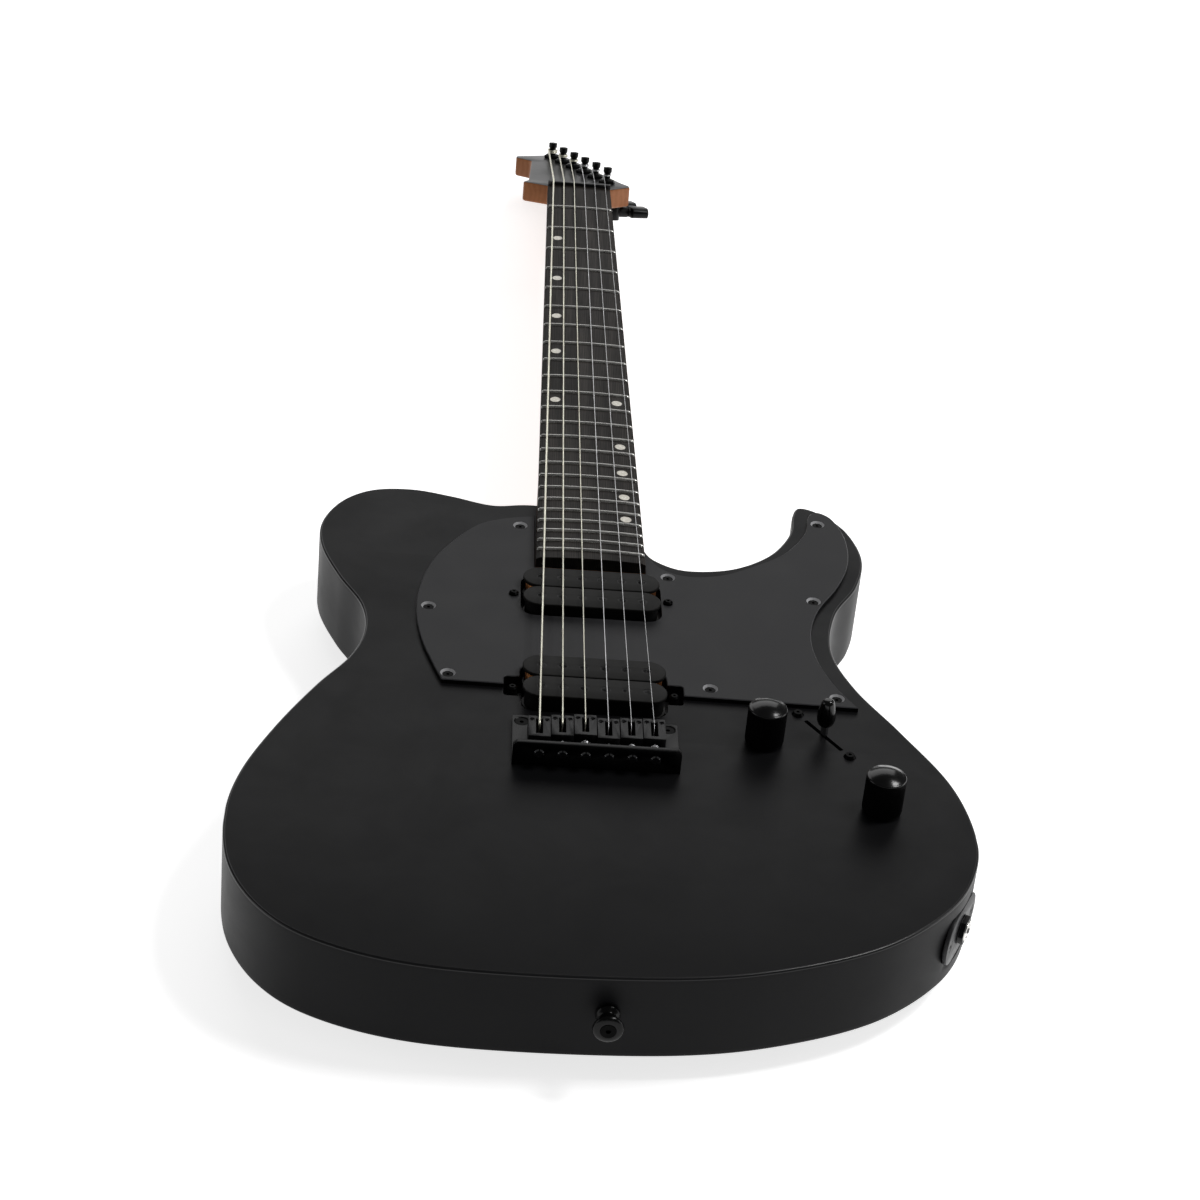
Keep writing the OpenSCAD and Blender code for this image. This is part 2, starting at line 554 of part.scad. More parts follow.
// ---------- pickups ----------
bobbin_w = (pickup_w - 0.6) / 2;     // each pickup has two bobbins with a narrow split
bobbin_y = pickup_w / 2 - bobbin_w / 2;
pickup_top = body_t + pickup_rise;
flange_t = 1.8;
coil_h = 8;
base_t = 1;
base_z = pickup_top - 2 * flange_t - coil_h - base_t - 3.4;
magnet_z = base_z + base_t;
magnet_l = pickup_l - 9;
bobbin_z = magnet_z + 3.4;
core_x = [for (k = [-2.5:1:2.5]) k * 10.4];
// Flat plate with round ends, centred on the origin.
module lozenge(l, w, t) {
    slab(box_pts(l, w, w / 2 - 0.1), 0, t);
}
module at_bobbins() {
    for (y = pickup_ys) for (s = [-1, 1]) translate([0, y + s * bobbin_y, 0]) children();
}
module pickup_bobbins() color([0.13, 0.12, 0.11]) at_bobbins() difference() {
    union() {
        translate([0, 0, pickup_top - flange_t]) lozenge(pickup_l, bobbin_w, flange_t);
        translate([0, 0, bobbin_z]) lozenge(pickup_l, bobbin_w, flange_t);
        translate([0, 0, bobbin_z]) lozenge(pickup_l - 9, 6.5, pickup_top - bobbin_z);
    }
    for (x = core_x) translate([x, 0, bobbin_z - 1]) cylinder(h = 30, r = 2.4);
}
module pickup_coils() color([0.75, 0.38, 0.15]) at_bobbins()
    translate([0, 0, bobbin_z + flange_t]) difference() {
        lozenge(pickup_l - 3, bobbin_w - 2, coil_h);
        translate([0, 0, -1]) lozenge(pickup_l - 9, 6.5, coil_h + 2);
    }
module pickup_cores() color([0.3, 0.3, 0.31]) {
    at_bobbins() for (x = core_x) translate([x, 0, magnet_z + 1])
        cylinder(h = pickup_top - magnet_z - 1.1, r = 2.4);
    for (y = pickup_ys) translate([-magnet_l / 2, y - 5.8, magnet_z]) cube([magnet_l, 11.6, 3.3]);
}
module pickup_baseplates() color([0.6, 0.6, 0.6]) for (y = pickup_ys) difference() {
    union() {
        slab([for (p = box_pts(pickup_l - 2, pickup_w - 2, 3)) p + [0, y]], base_z, base_t);
        slab([for (p = box_pts(2 * ear_x - 2, ear_w - 3, 3)) p + [0, y]], base_z, base_t);
    }
    for (s = [-1, 1]) translate([s * pickup_screw_x, y, base_z - 1]) cylinder(h = 4, d = 2.8);
}
// The neck pickup hangs from the pickguard; the bridge pickup is screwed to the body.
module at_pickup_screws() {
    for (s = [-1, 1]) {
        translate([s * pickup_screw_x, neck_pickup_y, body_t + guard_t]) children();
        translate([s * pickup_screw_x, bridge_pickup_y, base_z + base_t + tubing_l]) children();
    }
}
tubing_l = 6;
module pickup_screws() color([0.1, 0.1, 0.1]) at_pickup_screws() difference() {
    union() {
        translate([0, 0, -18]) cylinder(h = 18.2, d = 2.7);
        cylinder(h = 1, d = 5);
        translate([0, 0, 1]) cylinder(h = 0.8, d1 = 5, d2 = 3.2);
    }
    translate([0, 0, 0.8]) cylinder(h = 3, d = 1.6, $fn = 6);
}
module pickup_tubing() color([0.7, 0.66, 0.55]) for (s = [-1, 1]) {
    translate([s * pickup_screw_x, neck_pickup_y, base_z + base_t]) difference() {
        cylinder(h = body_t - base_z - base_t, r = 2.4);
        translate([0, 0, -1]) cylinder(h = 40, r = 1.4);
    }
    translate([s * pickup_screw_x, bridge_pickup_y, base_z + base_t]) difference() {
        cylinder(h = tubing_l, r = 2.4);
        translate([0, 0, -1]) cylinder(h = 40, r = 1.4);
    }
}

// ---------- bridge ----------
bridge_w = 6 * saddle_pitch + 2 * bridge_side;
plate_y0 = -26.5;
plate_y1 = 12;
saddle_travel = 3;
saddle_w = saddle_pitch - saddle_gap;
saddle_z = body_t + bridge_t + 0.3;
saddle_top = string_z0 - 0.4;
// where each string leaves its saddle, measured from the scale line
crest_y = [0, -0.6, -1.8, 0.2, -1.4, -3.2];
crest_inset = 3;                     // from a saddle's front face to its crest
slot_in = 3.4;                       // width of the string's slot in a saddle
saddle_wall = 2.2;                   // thickness of a saddle's back wall
screw_r = 1.5;
screw_z = body_t + wall_h - 4.6;
head_r = 2.5;
bridge_screw_at = [[-bridge_w / 2 + 4.6, 7], [bridge_w / 2 - 4.6, 7],
                   [-2 * saddle_pitch, -4.5], [0, -4.5], [2 * saddle_pitch, -4.5]];
module bridge_plate() color([0.1, 0.1, 0.1]) difference() {
    union() {
        translate([0, (plate_y0 + plate_y1) / 2, 0])
            slab(box_pts(bridge_w, plate_y1 - plate_y0, 1.5), body_t, bridge_t);
        translate([0, plate_y0 + bridge_t, body_t]) rotate([90, 0, 0])
            linear_extrude(bridge_t) polygon(rounded([[-bridge_w / 2, 0, 0], [bridge_w / 2, 0, 0],
                [bridge_w / 2, wall_h, 3], [-bridge_w / 2, wall_h, 3]]));
    }
    for (p = bridge_screw_at) translate([p[0], p[1], body_t - 1]) {
        cylinder(h = 9, d = 3.6);
        translate([0, 0, 1.5]) cylinder(h = 2, d1 = 3.5, d2 = 7.5);
    }
    for (n = strings) {
        translate([saddle_x(n), string_hole_y, body_t - 1]) cylinder(h = 9, r = string_hole_r);
        translate([saddle_x(n), plate_y0 - 1, screw_z]) rotate([-90, 0, 0])
            cylinder(h = bridge_t + 2, r = screw_r + running);
    }
}
module body_screws() color([0.1, 0.1, 0.1]) {
    for (p = bridge_screw_at) translate([p[0], p[1], body_t + bridge_t - 0.4]) flat_screw(6.3, 3.5, 20);
    translate([tail_button_x, tail_y - strap_l - 0.2, strap_z]) rotate([90, 0, 0]) flat_screw(7, 3.5, 32);
    translate([horn_button_x, horn_y + strap_l + 0.2, strap_z]) rotate([-90, 0, 0]) flat_screw(7, 3.5, 32);
}
// Saddle block of string n with its two height screws.
module saddle(n) {
    x = saddle_x(n);
    front = crest_y[n - 1] + crest_inset;
    color([0.15, 0.15, 0.15]) difference() {
        translate([x - saddle_w / 2, front - saddle_l, saddle_z])
            cube([saddle_w, saddle_l, saddle_top - saddle_z]);
        // groove over the crest, and the slot behind it
        translate([x - 1.2, front - crest_inset - 1, string_z0 - free_gap - 0.6]) cube([2.4, 20, 9]);
        translate([x - slot_in / 2, front - saddle_l + saddle_wall, saddle_z - 1])
            cube([slot_in, saddle_l - saddle_wall - crest_inset - 0.4, 20]);
        // the front slopes down from the crest
        translate([x - 20, front - 1.2, saddle_top]) rotate([-52, 0, 0]) cube([40, 9, 9]);
        translate([x, front - saddle_l - 1, screw_z]) rotate([-90, 0, 0])
            cylinder(h = 8, r = screw_r + running);
        for (s = [-1, 1]) translate([x + s * 3.6, front - 4.2, saddle_z - 1]) cylinder(h = 20, r = 1.2);
    }
    color([0.3, 0.3, 0.3]) for (s = [-1, 1]) translate([x + s * 3.6, front - 4.2, saddle_z])
        difference() {
            cylinder(h = saddle_top - saddle_z - 0.5, r = 1.2);
            translate([0, 0, saddle_top - saddle_z - 2]) cylinder(h = 3, r = 0.6, $fn = 6);
        }
}
function saddle_back(n) = crest_y[n - 1] + crest_inset - saddle_l;
module intonation_screw(n) color([0.12, 0.12, 0.12]) translate([saddle_x(n), 0, screw_z])
    rotate([90, 0, 0]) difference() {
        union() {
            translate([0, 0, -(saddle_back(n) + 4)])
                cylinder(h = saddle_back(n) + 4 - plate_y0 + 0.5, r = screw_r);
            translate([0, 0, -plate_y0 + 0.3]) cylinder(h = 1.8, r = head_r);
            translate([0, 0, -plate_y0 + 2.1]) cylinder(h = 0.5, r1 = head_r, r2 = head_r - 0.6);
        }
        translate([-0.3, -3, -plate_y0 + 1.9]) cube([0.6, 6, 2]);
        translate([-3, -0.3, -plate_y0 + 1.9]) cube([6, 0.6, 2]);
    }
// Each spring stands for the coil between a saddle and the wall; the saddle's travel stays free.
module saddle_springs() color([0.6, 0.6, 0.6]) for (n = strings) {
    y1 = saddle_back(n) - saddle_travel - 0.4;
    y0 = plate_y0 + bridge_t;
    translate([saddle_x(n), y0, screw_z]) rotate([-90, 0, 0]) difference() {
        cylinder(h = y1 - y0, r = screw_r + 0.9);
        translate([0, 0, -1]) cylinder(h = 30, r = screw_r + 0.3);
    }
}

// ---------- strings ----------
bend_y = -saddle_travel - 1.6;       // behind the crest, where a string turns down
ball_z = 5;
function head_point(p) = [p[0], head_y + p[1] * cos(head_tilt) + p[2] * sin(head_tilt),
                          head_z - p[1] * sin(head_tilt) + p[2] * cos(head_tilt)];
wrap_z = 6.2;
module string(n) {
    r = string_d[n - 1] / 2;
    x = saddle_x(n);
    post = post_at(n);
    wrap_r = waist_r + free_gap + r;
    bend = crest_y[n - 1] + bend_y;
    tail = [[x, string_hole_y, ball_z], [x, string_hole_y, body_t + 2],
            [x, bend, string_z0 + r], [nut_x(n), scale_l, string_nut_z + r],
            [nut_x(n), scale_l + nut_l, string_nut_z + r]];
    // turns round the post, a little apart, from the side that the string arrives at
    turns = n > 3 ? 2 : 3;
    coil = [for (k = [0:16 * turns]) head_point([post[0] - wrap_r * cos(22.5 * k),
        post[1] + wrap_r * sin(22.5 * k), wrap_z - k * (2 * r + 0.06) / 16])];
    wire(concat(tail, coil), r);
    translate([x, string_hole_y, ball_z - 4]) cylinder(h = 4, r = 1.9);
}
module plain_strings() color([0.7, 0.7, 0.7]) for (n = [1:3]) string(n);
module wound_strings() color([0.8, 0.78, 0.7]) for (n = [4:6]) string(n);

// ---------- controls ----------
bushing_r = 4.7;
pot_r = 12;
pot_h = 9;
knob_lift = 0.8;
shaft_top = body_t + 15;
module pots() color([0.6, 0.6, 0.6]) for (p = knob_at) translate([p[0], p[1], 0]) difference() {
    union() {
        translate([0, 0, body_t - roof_t - pot_h]) cylinder(h = pot_h, r = pot_r);
        translate([0, 0, body_t - roof_t - 1]) cylinder(h = roof_t + 5, r = bushing_r);
        translate([0, 0, body_t]) cylinder(h = 0.8, r = 7);
        translate([0, 0, body_t + 0.8]) cylinder(h = 2.2, r = 6.6, $fn = 6);
    }
    translate([0, 0, body_t - roof_t - pot_h + 1]) cylinder(h = 30, r = shaft_d / 2 + running);
}
dome_h = 2.4;
module control_knob(k) color([0.05, 0.05, 0.05]) translate([knob_at[k][0], knob_at[k][1], 0]) {
    difference() {
        union() {
            translate([0, 0, body_t + knob_lift]) cylinder(h = knob_h, d = knob_d, $fn = 72);
            // dome: the cap of a large ball
            translate([0, 0, body_t + knob_lift + knob_h]) intersection() {
                cylinder(h = dome_h, d = knob_d - 0.6);
                translate([0, 0, dome_h - dome_r]) sphere(r = dome_r, $fn = 96);
            }
        }
        translate([0, 0, body_t]) cylinder(h = 6, r = 7.7);
        translate([0, 0, body_t]) cylinder(h = shaft_top - body_t, d = shaft_d);
    }
    translate([0, 0, body_t - roof_t - pot_h + 1.2])
        cylinder(h = shaft_top - (body_t - roof_t - pot_h + 1.2), d = shaft_d);
}
knob_edge = knob_d / 2 - 0.3;
dome_r = (knob_edge * knob_edge + dome_h * dome_h) / (2 * dome_h);

frame_w = 12;
frame_l = 48;
frame_d = 25;
module switch_frame() color([0.65, 0.65, 0.65]) at_switch() difference() {
    translate([-frame_l / 2, -frame_w / 2, body_t - roof_t - frame_d]) cube([frame_l, frame_w, frame_d]);
    translate([-frame_l / 2 + 5, -1.8, body_t - roof_t - frame_d + 1.5]) cube([frame_l - 10, 3.6, 40]);
    translate([0, 0, pivot_z]) rotate([90, 0, 0]) cylinder(h = frame_w + 2, r = 1.5 + running, center = true);
    for (s = [-1, 1]) translate([s * switch_pitch / 2, 0, body_t - roof_t - 20]) cylinder(h = 30, d = 2.5);
}
tip_z = body_t + 6;
tip_h = 15;
module switch_lever() color([0.85, 0.85, 0.86]) at_switch() {
    translate([-lever_w / 2, -lever_t / 2, pivot_z]) cube([lever_w, lever_t, tip_z + 8 - pivot_z]);
    translate([0, 0, pivot_z]) rotate([90, 0, 0]) cylinder(h = 3, r = 4, center = true);
    translate([0, 0, pivot_z]) rotate([90, 0, 0]) cylinder(h = frame_w - 1, r = 1.5, center = true);
}
module switch_tip() color([0.04, 0.04, 0.04]) at_switch() difference() {
    translate([0, 0, tip_z]) rotate_extrude() polygon([[0, 0], [2.6, 0], [4.2, 2.4], [4.6, 4.6],
        [4.4, 8], [3.6, 12], [3, 14.2], [2.2, tip_h], [0, tip_h]]);
    translate([-lever_w / 2, -lever_t / 2, tip_z - 1]) cube([lever_w, lever_t, 9]);
}
// Nine small screws of one size: jack plate, switch and control cover.
module plate_screws() color([0.12, 0.12, 0.12]) {
    at_switch() for (s = [-1, 1]) translate([s * switch_pitch / 2, 0, body_t + 1.4]) {
        translate([0, 0, -12]) cylinder(h = 11, d = 2.5);
        difference() {
            translate([0, 0, -1.4]) cylinder(h = 1.6, d1 = 6.2, d2 = 4.2);
            translate([0, 0, -0.6]) cylinder(h = 2, d = 1.8, $fn = 6);
        }
    }
    at_jack() for (s = [-1, 1]) translate([s * jack_pitch / 2, 0, jack_plate_t - jack_flat - 0.1])
        flat_screw(5.6, 2.9, 12);
    for (p = cover_screw_at) translate([on_body(p)[0], on_body(p)[1], 0.2]) mirror([0, 0, 1])
        flat_screw(5.6, 2.9, 12);
}
jack_plate_t = 2;
jack_r = 8.5;
jack_l_in = 28;
module jack_plate() color([0.1, 0.1, 0.1]) at_jack() difference() {
    slab(box_pts(jack_l, jack_w, 12), -jack_flat, jack_plate_t);
    translate([0, 0, -9]) cylinder(h = 20, r = jack_neck_r);
    for (s = [-1, 1]) translate([s * jack_pitch / 2, 0, -jack_flat - 1]) {
        cylinder(h = 9, d = 3.2);
        translate([0, 0, 1.5]) cylinder(h = 1.6, d1 = 3.1, d2 = 6.3);
    }
}
jack_neck_r = 4.8;
// Barrel jack: the plug's bore runs right along it to the end contact.
module jack_socket() color([0.8, 0.8, 0.8]) at_jack() difference() {
    union() {
        translate([0, 0, -jack_flat - jack_l_in]) cylinder(h = jack_l_in, r = jack_r);
        translate([0, 0, -jack_flat - eps]) cylinder(h = jack_plate_t + 3.4, r = jack_neck_r);
        translate([0, 0, -jack_flat + jack_plate_t]) cylinder(h = 0.6, r = 7);
        translate([0, 0, -jack_flat + jack_plate_t + 0.6]) cylinder(h = 2.2, r = 6.8, $fn = 6);
    }
    translate([0, 0, -jack_flat - jack_l_in + 3]) cylinder(h = 60, d = plug_d + 0.1);
}
strap_l = 11;
// Strap button standing on its base, +Z away from the body.
module strap_button() difference() {
    rotate_extrude() polygon([[0, 0], [5.5, 0], [5.5, 0.8], [strap_neck, 3], [strap_neck, 7.5],
        [strap_d / 2 - 1, 8.2], [strap_d / 2, 9], [strap_d / 2 - 0.6, 10.4], [4.5, strap_l], [0, strap_l]]);
    translate([0, 0, -1]) cylinder(h = 20, d = 3.7);
    translate([0, 0, strap_l - 1.7]) cylinder(h = 2.25, d1 = 3.6, d2 = 8);
}
strap_neck = 3.8;
module strap_buttons() color([0.05, 0.05, 0.05]) {
    translate([tail_button_x, tail_y, strap_z]) rotate([90, 0, 0]) strap_button();
    translate([horn_button_x, horn_y, strap_z]) rotate([-90, 0, 0]) strap_button();
}
// Leads from the pickups and the jack to the pots, and the tone capacitor.
module wiring() color([0.2, 0.2, 0.2]) {
    lead_r = 1.2;
    x0 = neck_channel_x;
    z = lead_z;
    v = knob_at[0];
    t = knob_at[1];
    wire([[x0, neck_pickup_y - 12, z - 4], [x0, neck_pickup_y - 17, z], [x0, bridge_pickup_y + 17, z],
          [x0, bridge_pickup_y + 12, z - 4]], lead_r);
    wire([[30, bridge_pickup_y - 2, z - 4], [36, bridge_pickup_y - 5, z], [v[0] - 18, 15.5, z],
          [v[0] - 12, 13, pot_lead_z], [v[0] - 4, 13, pot_lead_z]], lead_r);
    wire([[v[0] + 4, v[1] - 6, pot_lead_z], [t[0] - 20, t[1] + 8, pot_lead_z],
          [t[0] - 4, t[1] + 2, pot_lead_z]], lead_r);
    translate([t[0] - 8, t[1] + 16, pot_lead_z - 1]) cylinder(h = 3, r = 4.5);
}

body();
neck();
fretboard();
frets();
inlay_dots();
nut();
truss_rod();
neck_bolts();
back_ferrules();
pickguard();
pickguard_screws();
pickup_bobbins();
pickup_coils();
pickup_baseplates();
pickup_cores();
pickup_screws();
pickup_tubing();
bridge_plate();
body_screws();
saddle_springs();
wound_strings();
plain_strings();
pots();
switch_frame();
plate_screws();
jack_plate();
jack_socket();
strap_buttons();
control_cover();
tuner_housings();
tuner_bushings();
wiring();
control_knob(0);  // volume_knob
control_knob(1);  // tone_knob
switch_lever();
switch_tip();
for (n = strings) {
    saddle(n);
    intonation_screw(n);
    tuner_post(n);
    tuner_button(n);
}
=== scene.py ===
"""Looks for the solid-body electric guitar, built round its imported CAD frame.

Lengths here are in millimetres in the frame's own axes: +Z out of the front of the body,
+Y to the headstock, +X the treble side. They become metres as a mesh is made.
"""

import math

import bmesh
import bpy
import numpy as np
from mathutils import Matrix, Vector
from mathutils.geometry import tessellate_polygon


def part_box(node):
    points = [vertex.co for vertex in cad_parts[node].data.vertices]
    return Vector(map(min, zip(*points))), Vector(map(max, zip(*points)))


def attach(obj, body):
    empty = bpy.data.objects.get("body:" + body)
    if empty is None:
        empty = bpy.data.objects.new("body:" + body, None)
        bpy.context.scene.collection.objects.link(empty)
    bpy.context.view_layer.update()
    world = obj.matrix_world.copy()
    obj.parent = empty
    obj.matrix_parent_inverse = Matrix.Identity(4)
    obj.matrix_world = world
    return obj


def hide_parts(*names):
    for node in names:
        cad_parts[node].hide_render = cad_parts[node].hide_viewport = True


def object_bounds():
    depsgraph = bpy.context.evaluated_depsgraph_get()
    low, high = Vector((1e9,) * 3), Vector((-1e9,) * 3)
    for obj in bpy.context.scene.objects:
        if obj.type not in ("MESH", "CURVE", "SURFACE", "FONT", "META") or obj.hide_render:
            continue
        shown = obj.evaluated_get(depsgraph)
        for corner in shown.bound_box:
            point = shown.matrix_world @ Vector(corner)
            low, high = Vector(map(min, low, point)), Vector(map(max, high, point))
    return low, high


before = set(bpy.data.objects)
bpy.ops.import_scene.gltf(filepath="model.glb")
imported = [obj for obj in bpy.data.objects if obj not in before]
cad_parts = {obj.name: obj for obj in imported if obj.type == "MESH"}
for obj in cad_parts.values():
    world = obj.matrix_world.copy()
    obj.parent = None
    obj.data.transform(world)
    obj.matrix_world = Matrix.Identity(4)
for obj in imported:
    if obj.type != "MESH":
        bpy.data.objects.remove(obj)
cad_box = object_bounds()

MM = 0.001
STRINGS = range(1, 7)


# ---------------------------------------------------------------- places, from the frame
def low(name):
    return np.array(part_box(name)[0]) / MM


def high(name):
    return np.array(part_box(name)[1]) / MM


def middle(name):
    return (low(name) + high(name)) / 2


FRONT = high("body")[2]                 # the body's front face
NUT_Y = low("nut")[1]                   # the nut's face on the board's side
NUT_BACK = high("nut")[1]
HEEL_Y = low("neck")[1]
BOARD_LOW = low("fretboard")[2]
BOARD_TOP = high("fretboard")[2]
NUT_HALF = high("nut")[0]
LAST_HALF = high("fretboard")[0]
GUARD_TOP = high("pickguard")[2]
PICKUP_TOP = high("pickup_bobbins")[2]
SADDLE_X = [middle(f"saddle_{n}")[0] for n in STRINGS]
SADDLE_FRONT = [high(f"saddle_{n}")[1] for n in STRINGS]
STRING_FOOT = high("saddle_1")[2] + 0.4   # the strings' undersides over the saddles
BOARD_RADIUS = 400
BOARD_DROP = 0.05                       # the face lies this far under the top of its box
FRET_COUNT, FRET_RISE, FRET_SINK, FRET_HALF = 24, 1.1, 0.35, 1.2
STRING_THICK = [0.25, 0.33, 0.43, 0.66, 0.91, 1.17]
NUT_SPREAD = 34.8
WRAP_Z = 6.2                            # a string's first turn over the headstock's face
HEAD_TILT = math.radians(15)
HEAD_Z = BOARD_TOP - 3
HEAD_THICK = 13
POST_HOLE = 4.9
POST_NECK = 2.5                         # a post's radius where the string goes round it
SWITCH_TURN = math.radians(-57)
KNOBS = {"volume": middle("volume_knob"), "tone": middle("tone_knob")}
SWITCH = middle("switch_tip")
JACK = np.array([168.0, -105.0, 22.0])
JACK_BARREL = 4.9
JACK_TURN = math.radians(-25)


# ---------------------------------------------------------------- curves and surfaces
def through(points, steps, closed=True):
    """Smooth curve through the points: on each span the cubic whose slope at a point is
    half the step between its two neighbours."""
    p = np.array(points, float)
    if closed:
        q = [np.roll(p, k, 0) for k in (1, 0, -1, -2)]
    else:
        e = np.concatenate([p[:1], p, p[-1:]])
        q = [e[k:len(e) - 3 + k] for k in range(4)]
    a, b, c, d = [v[:, None, :] for v in q]
    t = (np.arange(steps) / steps)[None, :, None]
    curve = 0.5 * (2 * b + (c - a) * t + (2 * a - 5 * b + 4 * c - d) * t ** 2
                   + (3 * b - a - 3 * c + d) * t ** 3)
    curve = curve.reshape(-1, p.shape[1])
    return curve if closed else np.concatenate([curve, p[-1:]])


def rounded(corners, steps=8):
    """Polygon whose corners (x, y, radius) are arcs that touch both of their sides."""
    out = []
    for i, (x, y, r) in enumerate(corners):
        p = np.array([x, y])
        a = np.array(corners[i - 1][:2]) - p
        b = np.array(corners[(i + 1) % len(corners)][:2]) - p
        if r == 0:
            out.append(p[None])
            continue
        a, b = a / np.linalg.norm(a), b / np.linalg.norm(b)
        half = math.acos(a @ b) / 2
        c = p + (a + b) / np.linalg.norm(a + b) * r / math.sin(half)
        s, e = p + a * r / math.tan(half) - c, p + b * r / math.tan(half) - c
        turn = math.pi - 2 * half
        t = np.linspace(0, 1, steps + 1)[:, None] * turn
        out.append(c + (s * np.sin(turn - t) + e * np.sin(t)) / math.sin(turn))
    return np.concatenate(out)


def box_loop(w, h, r, at=(0, 0), steps=8):
    x, y = w / 2, h / 2
    return rounded([(-x, -y, r), (x, -y, r), (x, y, r), (-x, y, r)], steps) + np.array(at)


def ring(x, y, r, n=32):
    """Circle: its centre plus r times the cosine and sine of even steps round a turn."""
    a = np.arange(n) / n * math.tau
    return np.stack([x + r * np.cos(a), y + r * np.sin(a)], 1)


def drawn_in(loop, d):
    """Loop moved inwards by d: each point goes along the mean normal of its two sides, by
    d over the cosine of half the corner."""
    before, after = loop - np.roll(loop, 1, 0), np.roll(loop, -1, 0) - loop
    x, y = loop.T
    area = np.sum(x * np.roll(y, -1) - np.roll(x, -1) * y)
    n = [np.stack([-e[:, 1], e[:, 0]], 1) / np.linalg.norm(e, axis=1)[:, None] * np.sign(area)
         for e in (before, after)]
    scale = d / np.maximum(1 + (n[0] * n[1]).sum(1), 0.35)
    return loop + (n[0] + n[1]) * scale[:, None]


def at_height(loop, z):
    return np.column_stack([loop, np.full(len(loop), z, float)])


def grid(points, wrap_u=False, wrap_v=False, caps=False):
    """Surface through a grid of points [u, v]: one face between each four neighbours, round
    again where a direction closes, and a flat end on its first and last row if asked."""
    nu, nv = points.shape[:2]
    i, j = np.arange(nu - (not wrap_u)), np.arange(nv - (not wrap_v))
    a, b = [g.ravel() for g in np.meshgrid(i, j, indexing="ij")]
    c, d = (a + 1) % nu, (b + 1) % nv
    faces = np.stack([a * nv + b, c * nv + b, c * nv + d, a * nv + d], 1).tolist()
    if caps:
        faces += [list(range(nv))[::-1], [(nu - 1) * nv + k for k in range(nv)]]
    return points.reshape(-1, 3), faces


def flat(loops, z):
    """Flat face at the height z inside the first loop and outside the others."""
    faces = tessellate_polygon([[Vector((x, y, 0)) for x, y in loop] for loop in loops])
    return at_height(np.concatenate(loops), z), [list(f) for f in faces]


def wall(loop, z0, z1):
    """Upright wall: the loop at both heights, joined."""
    return grid(np.stack([at_height(loop, z0), at_height(loop, z1)]), wrap_v=True)


def edge_rings(loop, z0, z1, top, bottom, steps=5, rows=()):
    """Wall of a plate as stacked loops: a quarter circle of radius bottom in from the lower
    face, straight up through the rows given, and a quarter circle of radius top at the upper."""
    t = np.linspace(0, math.pi / 2, steps + 1)
    up = [at_height(drawn_in(loop, bottom * (1 - math.sin(a))), z0 + bottom * (1 - math.cos(a)))
          for a in t]
    up += [at_height(loop, z) for z in rows]
    up += [at_height(drawn_in(loop, top * (1 - math.cos(a))), z1 - top * (1 - math.sin(a)))
           for a in t]
    return np.stack(up)


def plate(loop, z0, z1, top=0.4, bottom=0.3, holes=(), steps=4):
    """Plate with eased edges; a hole is a loop that goes straight through it."""
    rings = edge_rings(loop, z0, z1, top, bottom, steps)
    parts = [grid(rings, wrap_v=True),
             flat([rings[-1][:, :2], *holes], z1), flat([rings[0][:, :2], *holes], z0)]
    return parts + [wall(h, z0, z1) for h in holes]


def turned(profile, at=(0, 0, 0), n=48, steps=1):
    """Turned shape: the profile (radius, height) carried round the upright line at a place."""
    p = np.array(profile, float)
    if steps > 1:
        p = through(p, steps, closed=False)
        p[:, 0] = np.maximum(p[:, 0], 0)
    a = np.arange(n) / n * math.tau
    r = p[:, 0][:, None]
    points = np.stack([r * np.cos(a), r * np.sin(a), np.repeat(p[:, 1][:, None], n, 1)], 2)
    return grid(points + np.array(at), wrap_v=True)


def tube(path, radius, sides=10, across=(1, 0, 0), ribs=None):
    """Round tube: a circle set square to the path at each of its points, its first side the
    path's direction crossed with the line across. Ribs (pitch, height) swell the radius by a
    cosine of the length along it less the angle round it, which is a fine helix."""
    ahead = np.gradient(path, axis=0)
    ahead /= np.linalg.norm(ahead, axis=1)[:, None]
    side = np.cross(ahead, np.array(across, float))
    side /= np.linalg.norm(side, axis=1)[:, None]
    other = np.cross(side, ahead)
    a = np.arange(sides) / sides * math.tau
    r = np.full((len(path), sides), radius, float)
    if ribs:
        s = np.concatenate([[0], np.cumsum(np.linalg.norm(np.diff(path, axis=0), axis=1))])
        r += ribs[1] * np.cos(math.tau * s[:, None] / ribs[0] - a)
    points = path[:, None] + r[:, :, None] * (side[:, None] * np.cos(a)[None, :, None]
                                              + other[:, None] * np.sin(a)[None, :, None])
    return grid(points, wrap_v=True, caps=True)


def even(points, step):
    """Points a fixed step apart along straight lines between the points given."""
    p = np.array(points, float)
    s = np.concatenate([[0], np.cumsum(np.linalg.norm(np.diff(p, axis=0), axis=1))])
    t = np.linspace(0, s[-1], max(int(s[-1] / step), 1) + 1)
    return np.stack([np.interp(t, s, p[:, k]) for k in range(3)], 1)


def moved(part, matrix):
    points, faces = part
    return points @ matrix[:3, :3].T + matrix[:3, 3], faces


def frame_at(origin, turn_z=0.0, tilt_x=0.0):
    """Matrix that turns about z, then tilts back about x, then goes to the origin."""
    m = np.eye(4)
    c, s = math.cos(turn_z), math.sin(turn_z)
    z = np.array([[c, -s, 0], [s, c, 0], [0, 0, 1]])
    c, s = math.cos(tilt_x), math.sin(tilt_x)
    m[:3, :3] = np.array([[1, 0, 0], [0, c, -s], [0, s, c]]) @ z
    m[:3, 3] = origin
    return m


HEAD = frame_at((0, NUT_BACK, HEAD_Z), 0, -HEAD_TILT)


